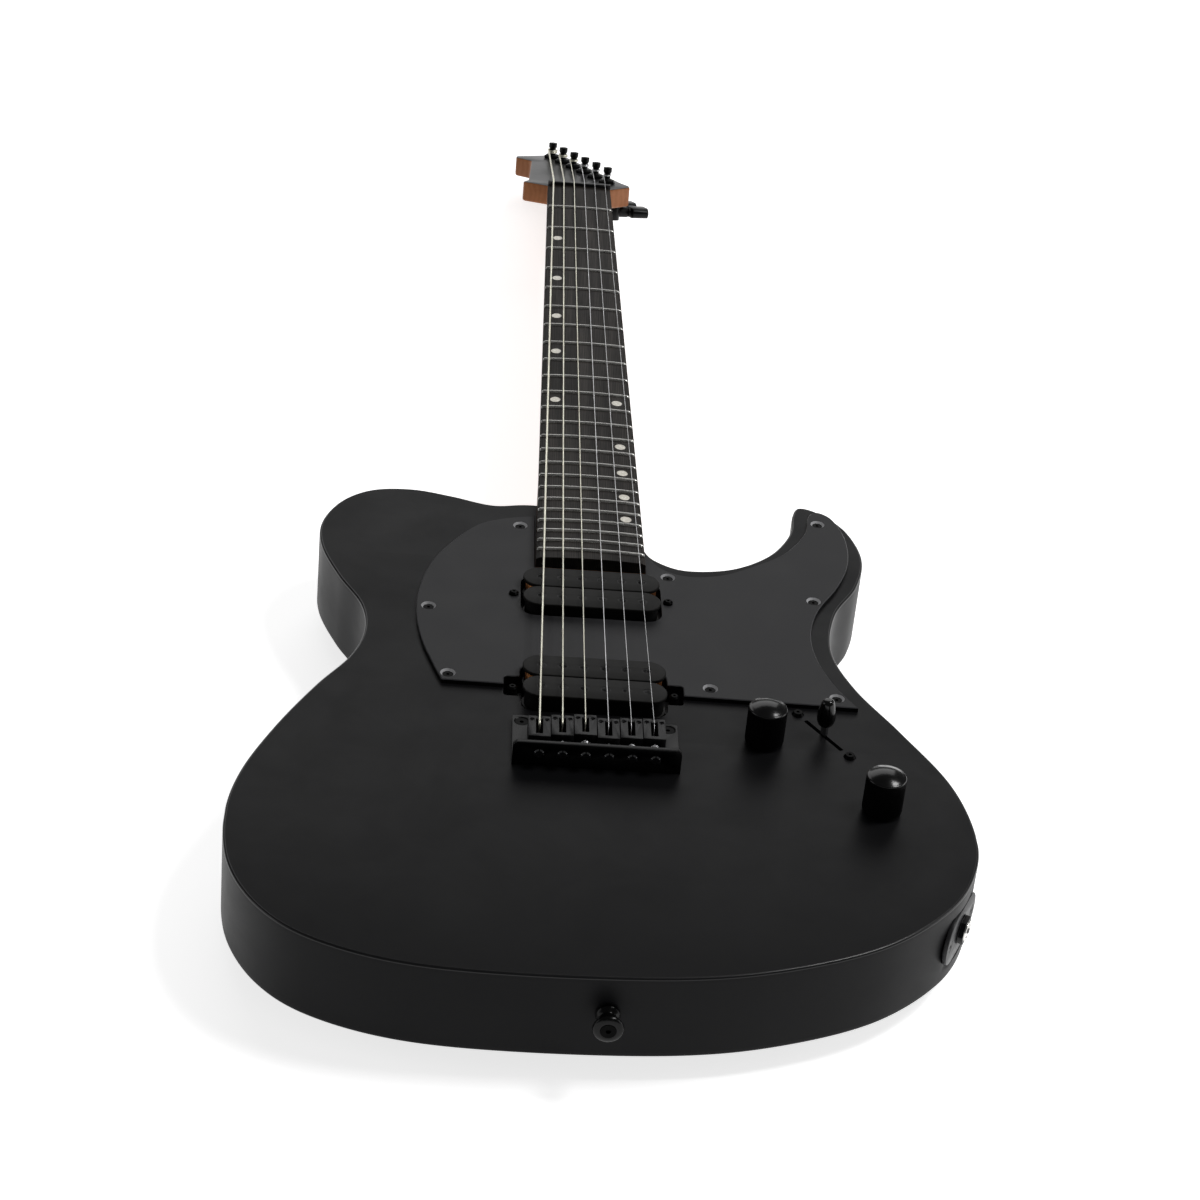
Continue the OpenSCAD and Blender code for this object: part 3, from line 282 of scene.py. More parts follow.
# ---------------------------------------------------------------- making a piece
def make(name, parts, finishes, stands_for=(), body="instrument", sharp=40, closed=True):
    """One mesh from parts (points, faces) or (points, faces, finish number)."""
    points, faces, numbers, start = [], [], [], 0
    for part in parts:
        p, f = part[0], part[1]
        points.append(p)
        faces += [[k + start for k in face] for face in f]
        numbers += [part[2] if len(part) > 2 else 0] * len(f)
        start += len(p)
    mesh = bpy.data.meshes.new(name)
    mesh.from_pydata((np.concatenate(points) * MM).tolist(), [], faces)
    mesh.polygons.foreach_set("material_index", numbers)
    for finish in finishes:
        mesh.materials.append(finish)
    b = bmesh.new()
    b.from_mesh(mesh)
    bmesh.ops.remove_doubles(b, verts=b.verts, dist=2e-6)
    bmesh.ops.dissolve_degenerate(b, dist=1e-6, edges=b.edges)
    if closed:
        bmesh.ops.recalc_face_normals(b, faces=b.faces)
    b.to_mesh(mesh)
    b.free()
    mesh.shade_smooth()
    mesh.set_sharp_from_angle(angle=math.radians(sharp))
    return settle(name, mesh, stands_for, body)


def settle(name, mesh, stands_for, body):
    piece = bpy.data.objects.new(name, mesh)
    bpy.context.scene.collection.objects.link(piece)
    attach(piece, body)
    if stands_for:
        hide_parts(*stands_for)
    return piece


def eased(node, width, finish, body="instrument", segments=2, angle=32):
    """A CAD node's shape with its edges rounded: its doubled corners merged, its flat faces
    joined up, and every edge that turns by more than the angle bevelled by the width."""
    b = bmesh.new()
    b.from_mesh(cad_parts[node].data)
    bmesh.ops.remove_doubles(b, verts=b.verts, dist=2e-6)
    bmesh.ops.dissolve_limit(b, angle_limit=math.radians(0.6), verts=b.verts, edges=b.edges)
    mesh = bpy.data.meshes.new(node + "_eased")
    b.to_mesh(mesh)
    b.free()
    mesh.materials.clear()
    mesh.materials.append(finish)
    mesh.polygons.foreach_set("material_index", [0] * len(mesh.polygons))
    mesh.shade_smooth()
    piece = settle(node + "_eased", mesh, (node,), body)
    ease = piece.modifiers.new("eased edges", "BEVEL")
    ease.width = width * MM
    ease.segments = segments
    ease.limit_method = "ANGLE"
    ease.angle_limit = math.radians(angle)
    ease.harden_normals = True
    return piece


def paint(node, finish):
    """A CAD node keeps its mesh and takes a finish."""
    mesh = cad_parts[node].data
    mesh.materials.clear()
    mesh.materials.append(finish)


# ---------------------------------------------------------------- finishes
def blank(name, rough=0.5, metal=0.0, coat=0.0, coat_rough=0.1, gloss=0.5):
    """New finish: its tree, its shader and its place on the object in metres."""
    m = bpy.data.materials.new(name)
    m.use_nodes = True
    tree = m.node_tree
    shader = tree.nodes["Principled BSDF"]
    shader.inputs["Roughness"].default_value = rough
    shader.inputs["Metallic"].default_value = metal
    shader.inputs["Coat Weight"].default_value = coat
    shader.inputs["Coat Roughness"].default_value = coat_rough
    shader.inputs["Specular IOR Level"].default_value = gloss
    place = tree.nodes.new("ShaderNodeTexCoord").outputs["Object"]
    return m, tree, shader, place


def stretched(tree, place, scale, turn=(0, 0, 0)):
    n = tree.nodes.new("ShaderNodeMapping")
    n.inputs["Scale"].default_value = scale
    n.inputs["Rotation"].default_value = turn
    tree.links.new(place, n.inputs["Vector"])
    return n.outputs["Vector"]


def cloud(tree, place, scale, detail=4.0, rough=0.55, bend=0.0):
    """Soft random pattern from 0 to 1, scale cells to the metre."""
    n = tree.nodes.new("ShaderNodeTexNoise")
    n.inputs["Scale"].default_value = scale
    n.inputs["Detail"].default_value = detail
    n.inputs["Roughness"].default_value = rough
    n.inputs["Distortion"].default_value = bend
    tree.links.new(place, n.inputs["Vector"])
    return n.outputs["Fac"]


def ramp(tree, value, stops):
    """Colours along a value: stops are (value, colour)."""
    n = tree.nodes.new("ShaderNodeValToRGB")
    while len(n.color_ramp.elements) < len(stops):
        n.color_ramp.elements.new(0.5)
    for e, (at, colour) in zip(n.color_ramp.elements, stops):
        e.position = at
        e.color = (*colour, 1)
    tree.links.new(value, n.inputs["Fac"])
    return n.outputs["Color"]


def between(tree, value, lo, hi, start=0.3, end=0.7):
    n = tree.nodes.new("ShaderNodeMapRange")
    n.inputs["From Min"].default_value = start
    n.inputs["From Max"].default_value = end
    n.inputs["To Min"].default_value = lo
    n.inputs["To Max"].default_value = hi
    tree.links.new(value, n.inputs["Value"])
    return n.outputs["Result"]


def relief(tree, shader, height, depth, strength=1.0, under=None):
    """Small relief, depth in millimetres, over another relief if one is given."""
    n = tree.nodes.new("ShaderNodeBump")
    n.inputs["Strength"].default_value = strength
    n.inputs["Distance"].default_value = depth * MM
    tree.links.new(height, n.inputs["Height"])
    if under is not None:
        tree.links.new(under, n.inputs["Normal"])
    tree.links.new(n.outputs["Normal"], shader.inputs["Normal"])
    return n.outputs["Normal"]


def even_finish(name, dark, light, rough, spread, cells, metal=0.0, coat=0.0, coat_rough=0.1,
                gloss=0.5, stretch=(1, 1, 1), grain=4000, depth=0.01, strength=0.5):
    """Plain finish with life in it: colour drifts between two tones, roughness by its spread,
    and a fine grain lifts the surface. Stretch draws the drift out into brushed lines."""
    m, tree, shader, place = blank(name, rough, metal, coat, coat_rough, gloss)
    drift = cloud(tree, stretched(tree, place, stretch), cells, 5)
    tree.links.new(ramp(tree, drift, [(0.3, dark), (0.7, light)]), shader.inputs["Base Color"])
    tree.links.new(between(tree, drift, rough - spread, rough + spread), shader.inputs["Roughness"])
    fine = cloud(tree, stretched(tree, place, stretch), grain, 2)
    relief(tree, shader, fine, depth, strength)
    return m


LACQUER_DARK, LACQUER_LIGHT = (0.0045, 0.0045, 0.0050), (0.0060, 0.0060, 0.0066)


def satin_black_lacquer():
    """Sprayed satin black: a faint orange peel, and rubbed patches that shine a little more."""
    m, tree, shader, place = blank("satin black lacquer", 0.42, 0, 0, 0.3, 0.085)
    tone = cloud(tree, place, 9, 6)
    tree.links.new(ramp(tree, tone, [(0.3, LACQUER_DARK), (0.7, LACQUER_LIGHT)]), shader.inputs["Base Color"])
    rub = cloud(tree, place, 22, 8, 0.65, 0.4)
    tree.links.new(between(tree, rub, 0.37, 0.47), shader.inputs["Roughness"])
    peel = relief(tree, shader, cloud(tree, place, 900, 2), 0.006, 0.35)
    relief(tree, shader, cloud(tree, place, 5200, 2), 0.003, 0.35, peel)
    return m


def buffed_edge():
    """The same lacquer where the edge is rubbed smoother: it mirrors more than the flats do."""
    return even_finish("rubbed lacquer edge", LACQUER_DARK, LACQUER_LIGHT, 0.3, 0.03, 22,
                       gloss=0.32, grain=900, depth=0.004, strength=0.3)


def wood(name, tones, rough, along, rings_across, pore_depth, bands=0.35):
    """Straight-grained wood, its length along Y: soft colour drawn out along the grain, growth
    lines as a distorted wave across it, and short open pores cut in along it."""
    m, tree, shader, place = blank(name, rough, 0, 0, 0.2, 0.12)
    drawn = stretched(tree, place, (1, along, 1))
    drift = cloud(tree, drawn, rings_across, 8, 0.6, 0.6)
    wave = tree.nodes.new("ShaderNodeTexWave")
    wave.bands_direction = "X"
    wave.inputs["Scale"].default_value = rings_across * 1.6
    wave.inputs["Distortion"].default_value = 5
    wave.inputs["Detail"].default_value = 3
    wave.inputs["Detail Scale"].default_value = 1.2
    tree.links.new(drawn, wave.inputs["Vector"])
    mix = tree.nodes.new("ShaderNodeMix")
    mix.inputs["Factor"].default_value = bands
    tree.links.new(drift, mix.inputs["A"])
    tree.links.new(wave.outputs["Fac"], mix.inputs["B"])
    grain = mix.outputs["Result"]
    tree.links.new(ramp(tree, grain, tones), shader.inputs["Base Color"])
    tree.links.new(between(tree, grain, rough + 0.08, rough - 0.08), shader.inputs["Roughness"])
    pores = cloud(tree, stretched(tree, place, (1, along * 0.8, 1)), 2600, 2, 0.5)
    relief(tree, shader, between(tree, pores, 0, 1, 0.36, 0.5), pore_depth, 0.6)
    return m


def roasted_maple():
    return wood("roasted maple", [(0.2, (0.190, 0.068, 0.024)), (0.5, (0.245, 0.092, 0.034)),
                                  (0.8, (0.300, 0.117, 0.045))], 0.42, 0.05, 60, 0.015, 0.14)


def dark_rosewood():
    return wood("dark rosewood", [(0.3, (0.006, 0.005, 0.0042)), (0.52, (0.013, 0.0105, 0.0088)),
                                  (0.75, (0.035, 0.027, 0.021))], 0.5, 0.045, 210, 0.05, 0.25)


def pearl():
    """Cream pearl: cells of slightly different tone under a clear gloss."""
    m, tree, shader, place = blank("cream pearl", 0.25, 0, 0.6, 0.08)
    n = tree.nodes.new("ShaderNodeTexVoronoi")
    n.inputs["Scale"].default_value = 700
    tree.links.new(place, n.inputs["Vector"])
    tree.links.new(ramp(tree, n.outputs["Distance"], [(0.0, (0.80, 0.76, 0.66)), (0.6, (0.55, 0.51, 0.42))]),
                   shader.inputs["Base Color"])
    relief(tree, shader, n.outputs["Distance"], 0.01, 0.3)
    return m


def wound_coil(name, dark, light, across, pitch, rough, metal):
    """Fine wire laid side by side: bands of light and shade, pitch millimetres apart."""
    m, tree, shader, place = blank(name, rough, metal)
    wave = tree.nodes.new("ShaderNodeTexWave")
    wave.bands_direction = across
    wave.inputs["Scale"].default_value = math.tau / (20 * pitch * MM)
    wave.inputs["Distortion"].default_value = 0.4
    tree.links.new(place, wave.inputs["Vector"])
    tree.links.new(ramp(tree, wave.outputs["Fac"], [(0.1, dark), (0.8, light)]), shader.inputs["Base Color"])
    relief(tree, shader, wave.outputs["Fac"], pitch / 4, 0.6)
    return m


def dull(name, tone, rough, grain=3500, depth=0.02, gloss=0.4, strength=0.5):
    """Moulded or cut black plastic with a fine tooth."""
    dark = tuple(0.8 * c for c in tone)
    light = tuple(1.25 * c for c in tone)
    return even_finish(name, dark, light, rough, 0.05, 40, gloss=gloss, grain=grain, depth=depth,
                       strength=strength)


def plated(name, tone, rough, spread=0.05, brushed=(1, 1, 1), depth=0.004):
    """Plated metal: nearly even, with faint brush lines and handling marks."""
    dark = tuple(0.85 * c for c in tone)
    light = tuple(min(1.15 * c, 1) for c in tone)
    return even_finish(name, dark, light, rough, spread, 120, metal=1.0, stretch=brushed,
                       grain=5000, depth=depth, strength=0.4)


LACQUER = satin_black_lacquer()
EDGE = buffed_edge()
MAPLE = roasted_maple()
ROSEWOOD = dark_rosewood()
PEARL = pearl()
HEAD_FACE = even_finish("headstock black", (0.006, 0.006, 0.0065), (0.009, 0.009, 0.0095), 0.36, 0.04,
                        25, gloss=0.2, grain=1200, depth=0.006, strength=0.3)
GUARD = dull("matte charcoal sheet", (0.022, 0.022, 0.0235), 0.55, 2600, 0.02, 0.2)
GUARD_EDGE = dull("cut sheet edge", (0.035, 0.035, 0.038), 0.4, 3000, 0.01)
SINK = dull("pale sheet core", (0.36, 0.36, 0.37), 0.4, 3000, 0.01)
# painted shade: the sheet's upright walls are coloured near black, darker than the sheet, for the shadow they
# stand in
GUARD_WALL_SHADE = dull("sheet core", (0.004, 0.004, 0.004), 0.5, 3000, 0.01, 0.15)
BOBBIN = dull("moulded bobbin black", (0.008, 0.0078, 0.0073), 0.42, 2500, 0.012, 0.07)
TAPE = dull("coil tape", (0.004, 0.004, 0.004), 0.55, 1800, 0.03, 0.15)
NUT_BLACK = dull("graphite nut", (0.008, 0.008, 0.0085), 0.3, 3000, 0.006, 0.3)
COVER = dull("cover sheet", (0.016, 0.016, 0.017), 0.55, 1500, 0.03)
TUBING = dull("black rubber tubing", (0.004, 0.004, 0.004), 0.55, 1200, 0.03, 0.15)
LEAD = dull("insulated lead", (0.02, 0.02, 0.02), 0.5, 900, 0.02)
COPPER = wound_coil("copper winding", (0.30, 0.10, 0.035), (0.85, 0.36, 0.13), "Z", 0.12, 0.32, 0.9)
FRET_WIRE = plated("fret wire", (0.44, 0.435, 0.415), 0.27, 0.04, (1, 6, 1))
STEEL = plated("bright steel", (0.56, 0.56, 0.57), 0.28)
PLAIN_WIRE = plated("plain string", (0.80, 0.80, 0.81), 0.4, 0.02)
WOUND_WIRE = plated("wound string", (0.92, 0.87, 0.74), 0.42, 0.03)
BASE_PLATE = even_finish("blackened base plate", (0.003, 0.003, 0.003), (0.006, 0.006, 0.006), 0.35, 0.05,
                         80, gloss=0.2, stretch=(1, 12, 1))
POLE = even_finish("blackened pole", (0.001, 0.001, 0.001), (0.002, 0.002, 0.002), 0.3, 0.02, 90, gloss=0.12,
                   depth=0.002)
POT_METAL = plated("pressed case", (0.50, 0.50, 0.47), 0.42, 0.08)
CHROME = plated("chromed blade", (0.78, 0.78, 0.79), 0.1, 0.03)
JACK_NICKEL = plated("nickel barrel", (0.70, 0.69, 0.66), 0.18)
BLACK_METAL = even_finish("black plating", (0.0012, 0.0012, 0.0013), (0.0025, 0.0025, 0.0027), 0.34, 0.02,
                          80, gloss=0.16, grain=3500, depth=0.002, strength=0.3)
SADDLE_BLACK = even_finish("satin black plating", (0.006, 0.006, 0.0065), (0.009, 0.009, 0.0096), 0.4,
                           0.03, 150, gloss=0.2, grain=4200, depth=0.006)
SCREW_BLACK = even_finish("black oxide", (0.001, 0.001, 0.001), (0.002, 0.002, 0.002), 0.3, 0.02, 300,
                          gloss=0.03, grain=4500, depth=0.003, strength=0.3)
KNOB_BLACK = even_finish("gloss black knob", (0.0012, 0.0012, 0.0013), (0.0022, 0.0022, 0.0024), 0.19, 0.012,
                         60, gloss=0.34, grain=3800, depth=0.001, strength=0.3)
TIP_BLACK = even_finish("gloss black tip", (0.0015, 0.0015, 0.0015), (0.003, 0.003, 0.003), 0.12, 0.03,
                        120, coat=0.12, coat_rough=0.05, gloss=0.3, grain=3000, depth=0.002)
BLACK_CHROME = plated("black chrome screw", (0.16, 0.16, 0.165), 0.14, 0.02, depth=0.002)
JACK_SATIN = dull("satin plate", (0.026, 0.026, 0.0275), 0.42, 3000, 0.006, 0.2)
PLATE_GLOSS = even_finish("gloss black plating", (0.0015, 0.0015, 0.0016), (0.003, 0.003, 0.0032), 0.22, 0.02,
                          80, gloss=0.16, grain=3500, depth=0.002, strength=0.3)


# ---------------------------------------------------------------- body
BODY_POINTS = [
    (-29, 224), (-52, 221), (-74, 228), (-96, 233), (-118, 229.5), (-134, 215), (-143, 191),
    (-141.5, 166), (-131, 137), (-118, 110), (-115, 85), (-121, 60), (-136, 32), (-153, -6),
    (-166, -45), (-170, -80), (-165, -116), (-149, -146), (-124, -166), (-84, -179), (-30, -182.5),
    (36, -179.5), (83, -169), (127, -149), (159, -119), (174, -88), (177, -58), (170, -20),
    (151, 21), (132, 58), (123, 92), (128, 128), (142, 158), (148, 188), (142, 217), (129, 235),
    (118, 240), (113.5, 231), (110, 209), (97, 185), (76, 168.5), (52, 164), (37, 171), (30, 182),
    (27, 202), (14, 219)]
BODY_REF_X, BODY_REF_Y, STILL = 173.5, 153.2, 60


def on_body(points):
    """The outline follows the body's width outside x 60, and the heel above y 60."""
    p = np.array(points, float)
    wide = ((high("body") - low("body"))[0] / 2 - STILL) / (BODY_REF_X - STILL)
    x = np.where(abs(p[:, 0]) < STILL, p[:, 0],
                 np.sign(p[:, 0]) * (STILL + (abs(p[:, 0]) - STILL) * wide))
    rise = np.clip((p[:, 1] - STILL) / (BODY_REF_Y - STILL), 0, 1)
    return np.stack([x, p[:, 1] + (HEEL_Y - BODY_REF_Y) * rise], 1)


CAVITY = rounded([(60, 34, 10), (104, 48, 10), (126, 38, 10), (154, -42, 14), (136, -64, 14),
                  (108, -52, 14), (62, -6, 10)])
COVER_LOOP = rounded([(54, 39, 12), (104, 55, 12), (131, 43, 12), (161, -42, 16), (138, -72, 16),
                      (104, -58, 16), (55, -9, 12)])
PICKUP_Y = [HEEL_Y - 28.6, 39.6]
PICKUP_HALF = (36.5, 19.5)              # half the opening round a pickup, with its gap
EAR = (44.5, 7)


def pickup_well(y):
    """Opening round a pickup: a rounded box with a square ear at each end."""
    (l, w), (e, h) = PICKUP_HALF, EAR
    return rounded([(-l, y - w, 8), (l, y - w, 8), (l, y - h, 0.5), (e, y - h, 2), (e, y + h, 2),
                    (l, y + h, 0.5), (l, y + w, 8), (-l, y + w, 8), (-l, y + h, 0.5),
                    (-e, y + h, 2), (-e, y - h, 2), (-l, y - h, 0.5)], 5)


FLAT_HALF, FLAT_ROUND = (9.5, 1), 12.2  # the jack's flat: a small box with wide round corners
FLAT_DEPTH, FLAT_REACH = 2.3, 12


def in_jack_flat(points):
    """Pushes wall points back to the jack's flat: inside a rounded box on the side, a point's
    distance out of the body is at most that of the flat."""
    out = np.array([math.cos(JACK_TURN), math.sin(JACK_TURN), 0])
    along = np.array([-out[1], out[0], 0])
    d = (points - JACK) @ out
    u, v = abs((points - JACK) @ along), abs(points[..., 2] - JACK[2])
    corner = np.hypot(np.maximum(u - FLAT_HALF[0], 0), np.maximum(v - FLAT_HALF[1], 0))
    inside = (corner < FLAT_ROUND) & (d > -FLAT_REACH)
    return points + np.where(inside, np.minimum(-FLAT_DEPTH - d, 0), 0)[..., None] * out


WELL_DEPTH, ROOF, COVER_DEPTH = 20, 6, 2
BOLT_HOLE, FERRULE_HOLE = (7, 3), (4, 10)   # radius and depth
FERRULE_Y = -9.5
FRONT_EDGE, BACK_EDGE, EDGE_STEPS = 1.2, 2.0, 6


def build_body():
    """Body: the outline carried up with eased edges, wells and cavities as straight walls with
    flat floors, and the jack's flat pressed into its side."""
    loop = through(on_body(BODY_POINTS), 14)
    loop[:, 0] = np.clip(loop[:, 0], low("body")[0], high("body")[0])
    past_jack = [9.9, 12, 16, 22, 28, 32, 34.1, 34.4]
    rows = np.concatenate([np.linspace(3.5, 9.6, 4), past_jack, np.linspace(36, 40.5, 3)])
    rings = edge_rings(loop, 0, FRONT, FRONT_EDGE, BACK_EDGE, EDGE_STEPS, rows)
    wells = [pickup_well(y) for y in PICKUP_Y]
    c, s = math.cos(SWITCH_TURN), math.sin(SWITCH_TURN)
    slot = box_loop(29, 2.2, 0.6, steps=3) @ np.array([[c, s], [-s, c]]) + SWITCH[:2]
    bolts = [ring(x, HEEL_Y + y, BOLT_HOLE[0]) for x in (-18, 18) for y in (16, 52)]
    ferrules = [ring(x, FERRULE_Y, FERRULE_HOLE[0]) for x in SADDLE_X]
    cavity, cover = on_body(CAVITY), on_body(COVER_LOOP)
    parts = [grid(in_jack_flat(rings[:-EDGE_STEPS]), wrap_v=True),
             grid(rings[-EDGE_STEPS - 1:], wrap_v=True) + (1,),
             flat([rings[-1][:, :2], *wells, slot], FRONT),
             flat([rings[0][:, :2], cover, *bolts, *ferrules], 0),
             wall(cover, 0, COVER_DEPTH), flat([cover, cavity], COVER_DEPTH),
             wall(cavity, COVER_DEPTH, FRONT - ROOF), flat([cavity, slot], FRONT - ROOF),
             wall(slot, FRONT - ROOF, FRONT)]
    for well in wells:
        parts += [wall(well, FRONT - WELL_DEPTH, FRONT), flat([well], FRONT - WELL_DEPTH)]
    for holes, deep in ((bolts, BOLT_HOLE[1]), (ferrules, FERRULE_HOLE[1])):
        for hole in holes:
            parts += [wall(hole, 0, deep), flat([hole], deep)]
    make("body_shell", parts, [LACQUER, EDGE], ("body",), sharp=35)


# ---------------------------------------------------------------- neck
def neck_half(y):
    return NUT_HALF + (LAST_HALF - NUT_HALF) * (NUT_Y - y) / (NUT_Y - HEEL_Y)


HEAD_CORNERS = [
    (-21, -6, 0), (-21, -1, 2), (-38, 11, 4), (-33.5, 22, 6), (-30, 120, 8), (-40.5, 132, 3),
    (-40.5, 141, 4), (-14, 160, 8), (-3, 152, 10), (30.5, 38, 8), (35.5, 26, 6), (35.5, 18, 3),
    (21, -1, 2), (21, -6, 0)]


def ease(t):
    """Smooth step: three t squared less two t cubed."""
    t = np.clip(t, 0, 1)
    return t * t * (3 - 2 * t)


HEEL_DEPTH, SHAFT_DEPTH, NUT_DEPTH = 18.5, 16, 14
SQUARE, ROUND = 14, 2.05                # powers of the section: a block, and nearly half an ellipse
VOLUTE, HEAD_SINK = 1.6, 6.4
ROUND_START, ROUND_RUN = 62, 50         # where the heel's block turns into the shaft


def build_neck():
    """Neck: at each y half a superellipse hangs from the flat under the board, its power
    falling from square at the heel to round, and its depth from the block to the shaft's.
    Past the nut the sections sink into the headstock's back and shrink."""
    head_run = NUT_BACK + 42
    y = np.concatenate([[HEEL_Y, HEEL_Y + 0.8], np.linspace(HEEL_Y + 4, HEEL_Y + 56, 6),
                        np.linspace(HEEL_Y + 60, HEEL_Y + 118, 26), np.linspace(HEEL_Y + 126, NUT_Y - 50, 20),
                        np.linspace(NUT_Y - 46, head_run, 34)])[:, None]
    heel = ease((y - HEEL_Y - ROUND_START) / ROUND_RUN)
    volute = ease((y - NUT_Y + 38) / 40)
    power = SQUARE + (ROUND - SQUARE) * np.clip(heel * 1.25, 0, 1) ** 0.35
    depth = HEEL_DEPTH + (SHAFT_DEPTH - HEEL_DEPTH) * heel
    depth = depth + (NUT_DEPTH - SHAFT_DEPTH) * np.clip((y - HEEL_Y - 72) / (NUT_Y - HEEL_Y - 72), 0, 1)
    past = np.maximum(y - NUT_BACK, 0)
    top = BOARD_LOW - np.maximum(past * math.tan(HEAD_TILT) - 2.4, 0)
    depth = depth + VOLUTE * volute - HEAD_SINK * ease(past / 40)
    half = neck_half(np.minimum(y, NUT_Y)) - 3 * ease(past / 30)
    half = half - 0.7 * (y < HEEL_Y + 0.5)
    a = np.linspace(0, math.pi, 37)[None, :]
    x = half * np.sign(np.cos(a)) * abs(np.cos(a)) ** (2 / power)
    z = top - depth * abs(np.sin(a)) ** (2 / power)
    points = np.stack([x, np.repeat(y, 37, 1), z], 2)
    make("neck_shaft", [grid(points, wrap_v=True, caps=True)], [MAPLE], ("neck",), sharp=50)


def build_headstock():
    """Headstock: its outline carried through its thickness with eased edges; the face is black,
    its edge and back are bare wood."""
    loop = rounded(HEAD_CORNERS, 8)
    rings = edge_rings(loop, -HEAD_THICK, 0, 1.0, 1.6, 5)
    holes = [ring(x, u, POST_HOLE) for x, u in POSTS]
    parts = [(*moved(grid(rings[:-2], wrap_v=True), HEAD), 0),
             (*moved(grid(rings[-3:], wrap_v=True), HEAD), 1),
             (*moved(flat([rings[-1][:, :2], *holes], 0), HEAD), 1),
             (*moved(flat([rings[0][:, :2], *holes], -HEAD_THICK), HEAD), 0)]
    parts += [(*moved(wall(h, -HEAD_THICK, 0), HEAD), 0) for h in holes]
    make("headstock", parts, [MAPLE, HEAD_FACE], sharp=45)


def nut_x(n):
    return NUT_SPREAD * (0.5 - (n - 1) / 5)


FIRST_POST, POST_PITCH, POST_SHIFT = 31, 22.4, 2.9
POSTS = [(nut_x(n) + POST_SHIFT, FIRST_POST + POST_PITCH * (n - 1)) for n in STRINGS]


ROLL = 0.9                              # radius of the board's rolled edges


def build_board():
    """Fretboard: across it the face is an arc of the board's radius whose edges roll over,
    carried along the neck as it narrows."""
    y = np.linspace(HEEL_Y, NUT_Y, 60)[:, None]
    half = neck_half(y)
    s = np.linspace(-1, 1, 31)[None, :]
    x = half * s
    top = BOARD_TOP - BOARD_DROP - x ** 2 / (2 * BOARD_RADIUS)
    roll = np.maximum(abs(x) - (half - ROLL), 0)
    top = top - (ROLL - np.sqrt(np.maximum(ROLL ** 2 - roll ** 2, 0)))
    face = np.stack([x, np.repeat(y, 31, 1), top], 2)
    ends = [np.stack([k * half, y, np.full_like(y, BOARD_LOW)], 2) for k in (1, -1)]
    make("fingerboard", [grid(np.concatenate([face, *ends], 1), wrap_v=True, caps=True)],
         [ROSEWOOD], ("fretboard",), sharp=40)


def build_frets():
    """Frets: each crown is half an ellipse across the wire, lying on the board's arc, and its
    ends are filed to a slope that brings the height down over the last millimetre."""
    parts = []
    for n in range(1, FRET_COUNT + 1):
        y0 = NUT_Y * 2 ** (-n / 12)
        half = neck_half(y0) - 0.25
        s = np.linspace(-1, 1, 33)
        x = half * np.sign(s) * (1 - (1 - abs(s)) ** 1.6)
        x = x[:, None]
        rise = np.minimum(FRET_RISE, 0.12 + 1.15 * (half - abs(x)))
        a = np.linspace(0, math.pi, 10)[None, :]
        base = BOARD_TOP - BOARD_DROP - x ** 2 / (2 * BOARD_RADIUS)
        z = base - FRET_SINK + (rise + FRET_SINK) * np.sin(a) ** 0.85
        y = y0 + FRET_HALF * np.cos(a) + 0 * x
        parts.append(grid(np.stack([x + 0 * a, y, z], 2), wrap_v=True, caps=True))
    make("fret_wires", parts, [FRET_WIRE], ("frets",), sharp=55)


# ---------------------------------------------------------------- strings
def head_point(x, u, w):
    return HEAD[:3, :3] @ np.array([x, u, w]) + HEAD[:3, 3]


def string_route(n):
    """Where a string runs: up through the body, over its saddle, along to the nut and across
    to the side of its post; then the turns round the post, a helix that goes down it."""
    r = STRING_THICK[n - 1] / 2
    x = SADDLE_X[n - 1]
    px, pu = POSTS[n - 1]
    wrap = POST_NECK + r
    crest = SADDLE_FRONT[n - 1] - 3
    nut_z = BOARD_TOP + FRET_RISE + 0.4 + r
    lie = STRING_FOOT + r
    run = [(x, FERRULE_Y, 8), (x, FERRULE_Y, FRONT + 1.2), (x, -9.45, FRONT + 2.2), (x, -9.1, FRONT + 3.2),
           (x, crest - 5.2, lie - 0.9), (x, crest - 4.6, lie - 0.25), (x, crest - 3.8, lie),
           (nut_x(n), NUT_Y, nut_z), (nut_x(n), NUT_BACK, nut_z),
           head_point(px - wrap, pu, WRAP_Z)]
    turns = 2 if n > 3 else 3
    a = np.linspace(0, math.tau * turns, 28 * turns)
    down = WRAP_Z - a / math.tau * (2 * r + 0.06)
    coil = np.stack([px - wrap * np.cos(a), pu + wrap * np.sin(a), down], 1)
    coil = coil @ HEAD[:3, :3].T + HEAD[:3, 3]
    return np.array(run), coil, r


BALL_END = [(0, 1), (1.5, 1), (1.9, 1.4), (1.9, 4.6), (1.5, 5), (0, 5)]


def build_strings():
    """Plain strings are smooth wire; wound ones are ribbed by their winding."""
    up = HEAD[:3, 2]
    for name, numbers, finish, slot in (("plain_strings", (1, 2, 3), PLAIN_WIRE, "plain_string"),
                                        ("wound_strings", (4, 5, 6), WOUND_WIRE, "wound_string")):
        parts = []
        for n in numbers:
            run, coil, r = string_route(n)
            x, y = run[0][:2]
            parts.append(turned(BALL_END, (x, y, 0), 16))
            parts.append(tube(coil, r, 8, up))
            if n < 4:
                parts.append(tube(even(run, 4), r, 8))
                continue
            pitch = 0.75 + 0.25 * (n - 4)
            parts.append(tube(even(run, pitch / 4), r * 0.93, 7, ribs=(pitch, 0.07 * r)))
        make(name + "_wire", parts, [finish], (name,), sharp=80)


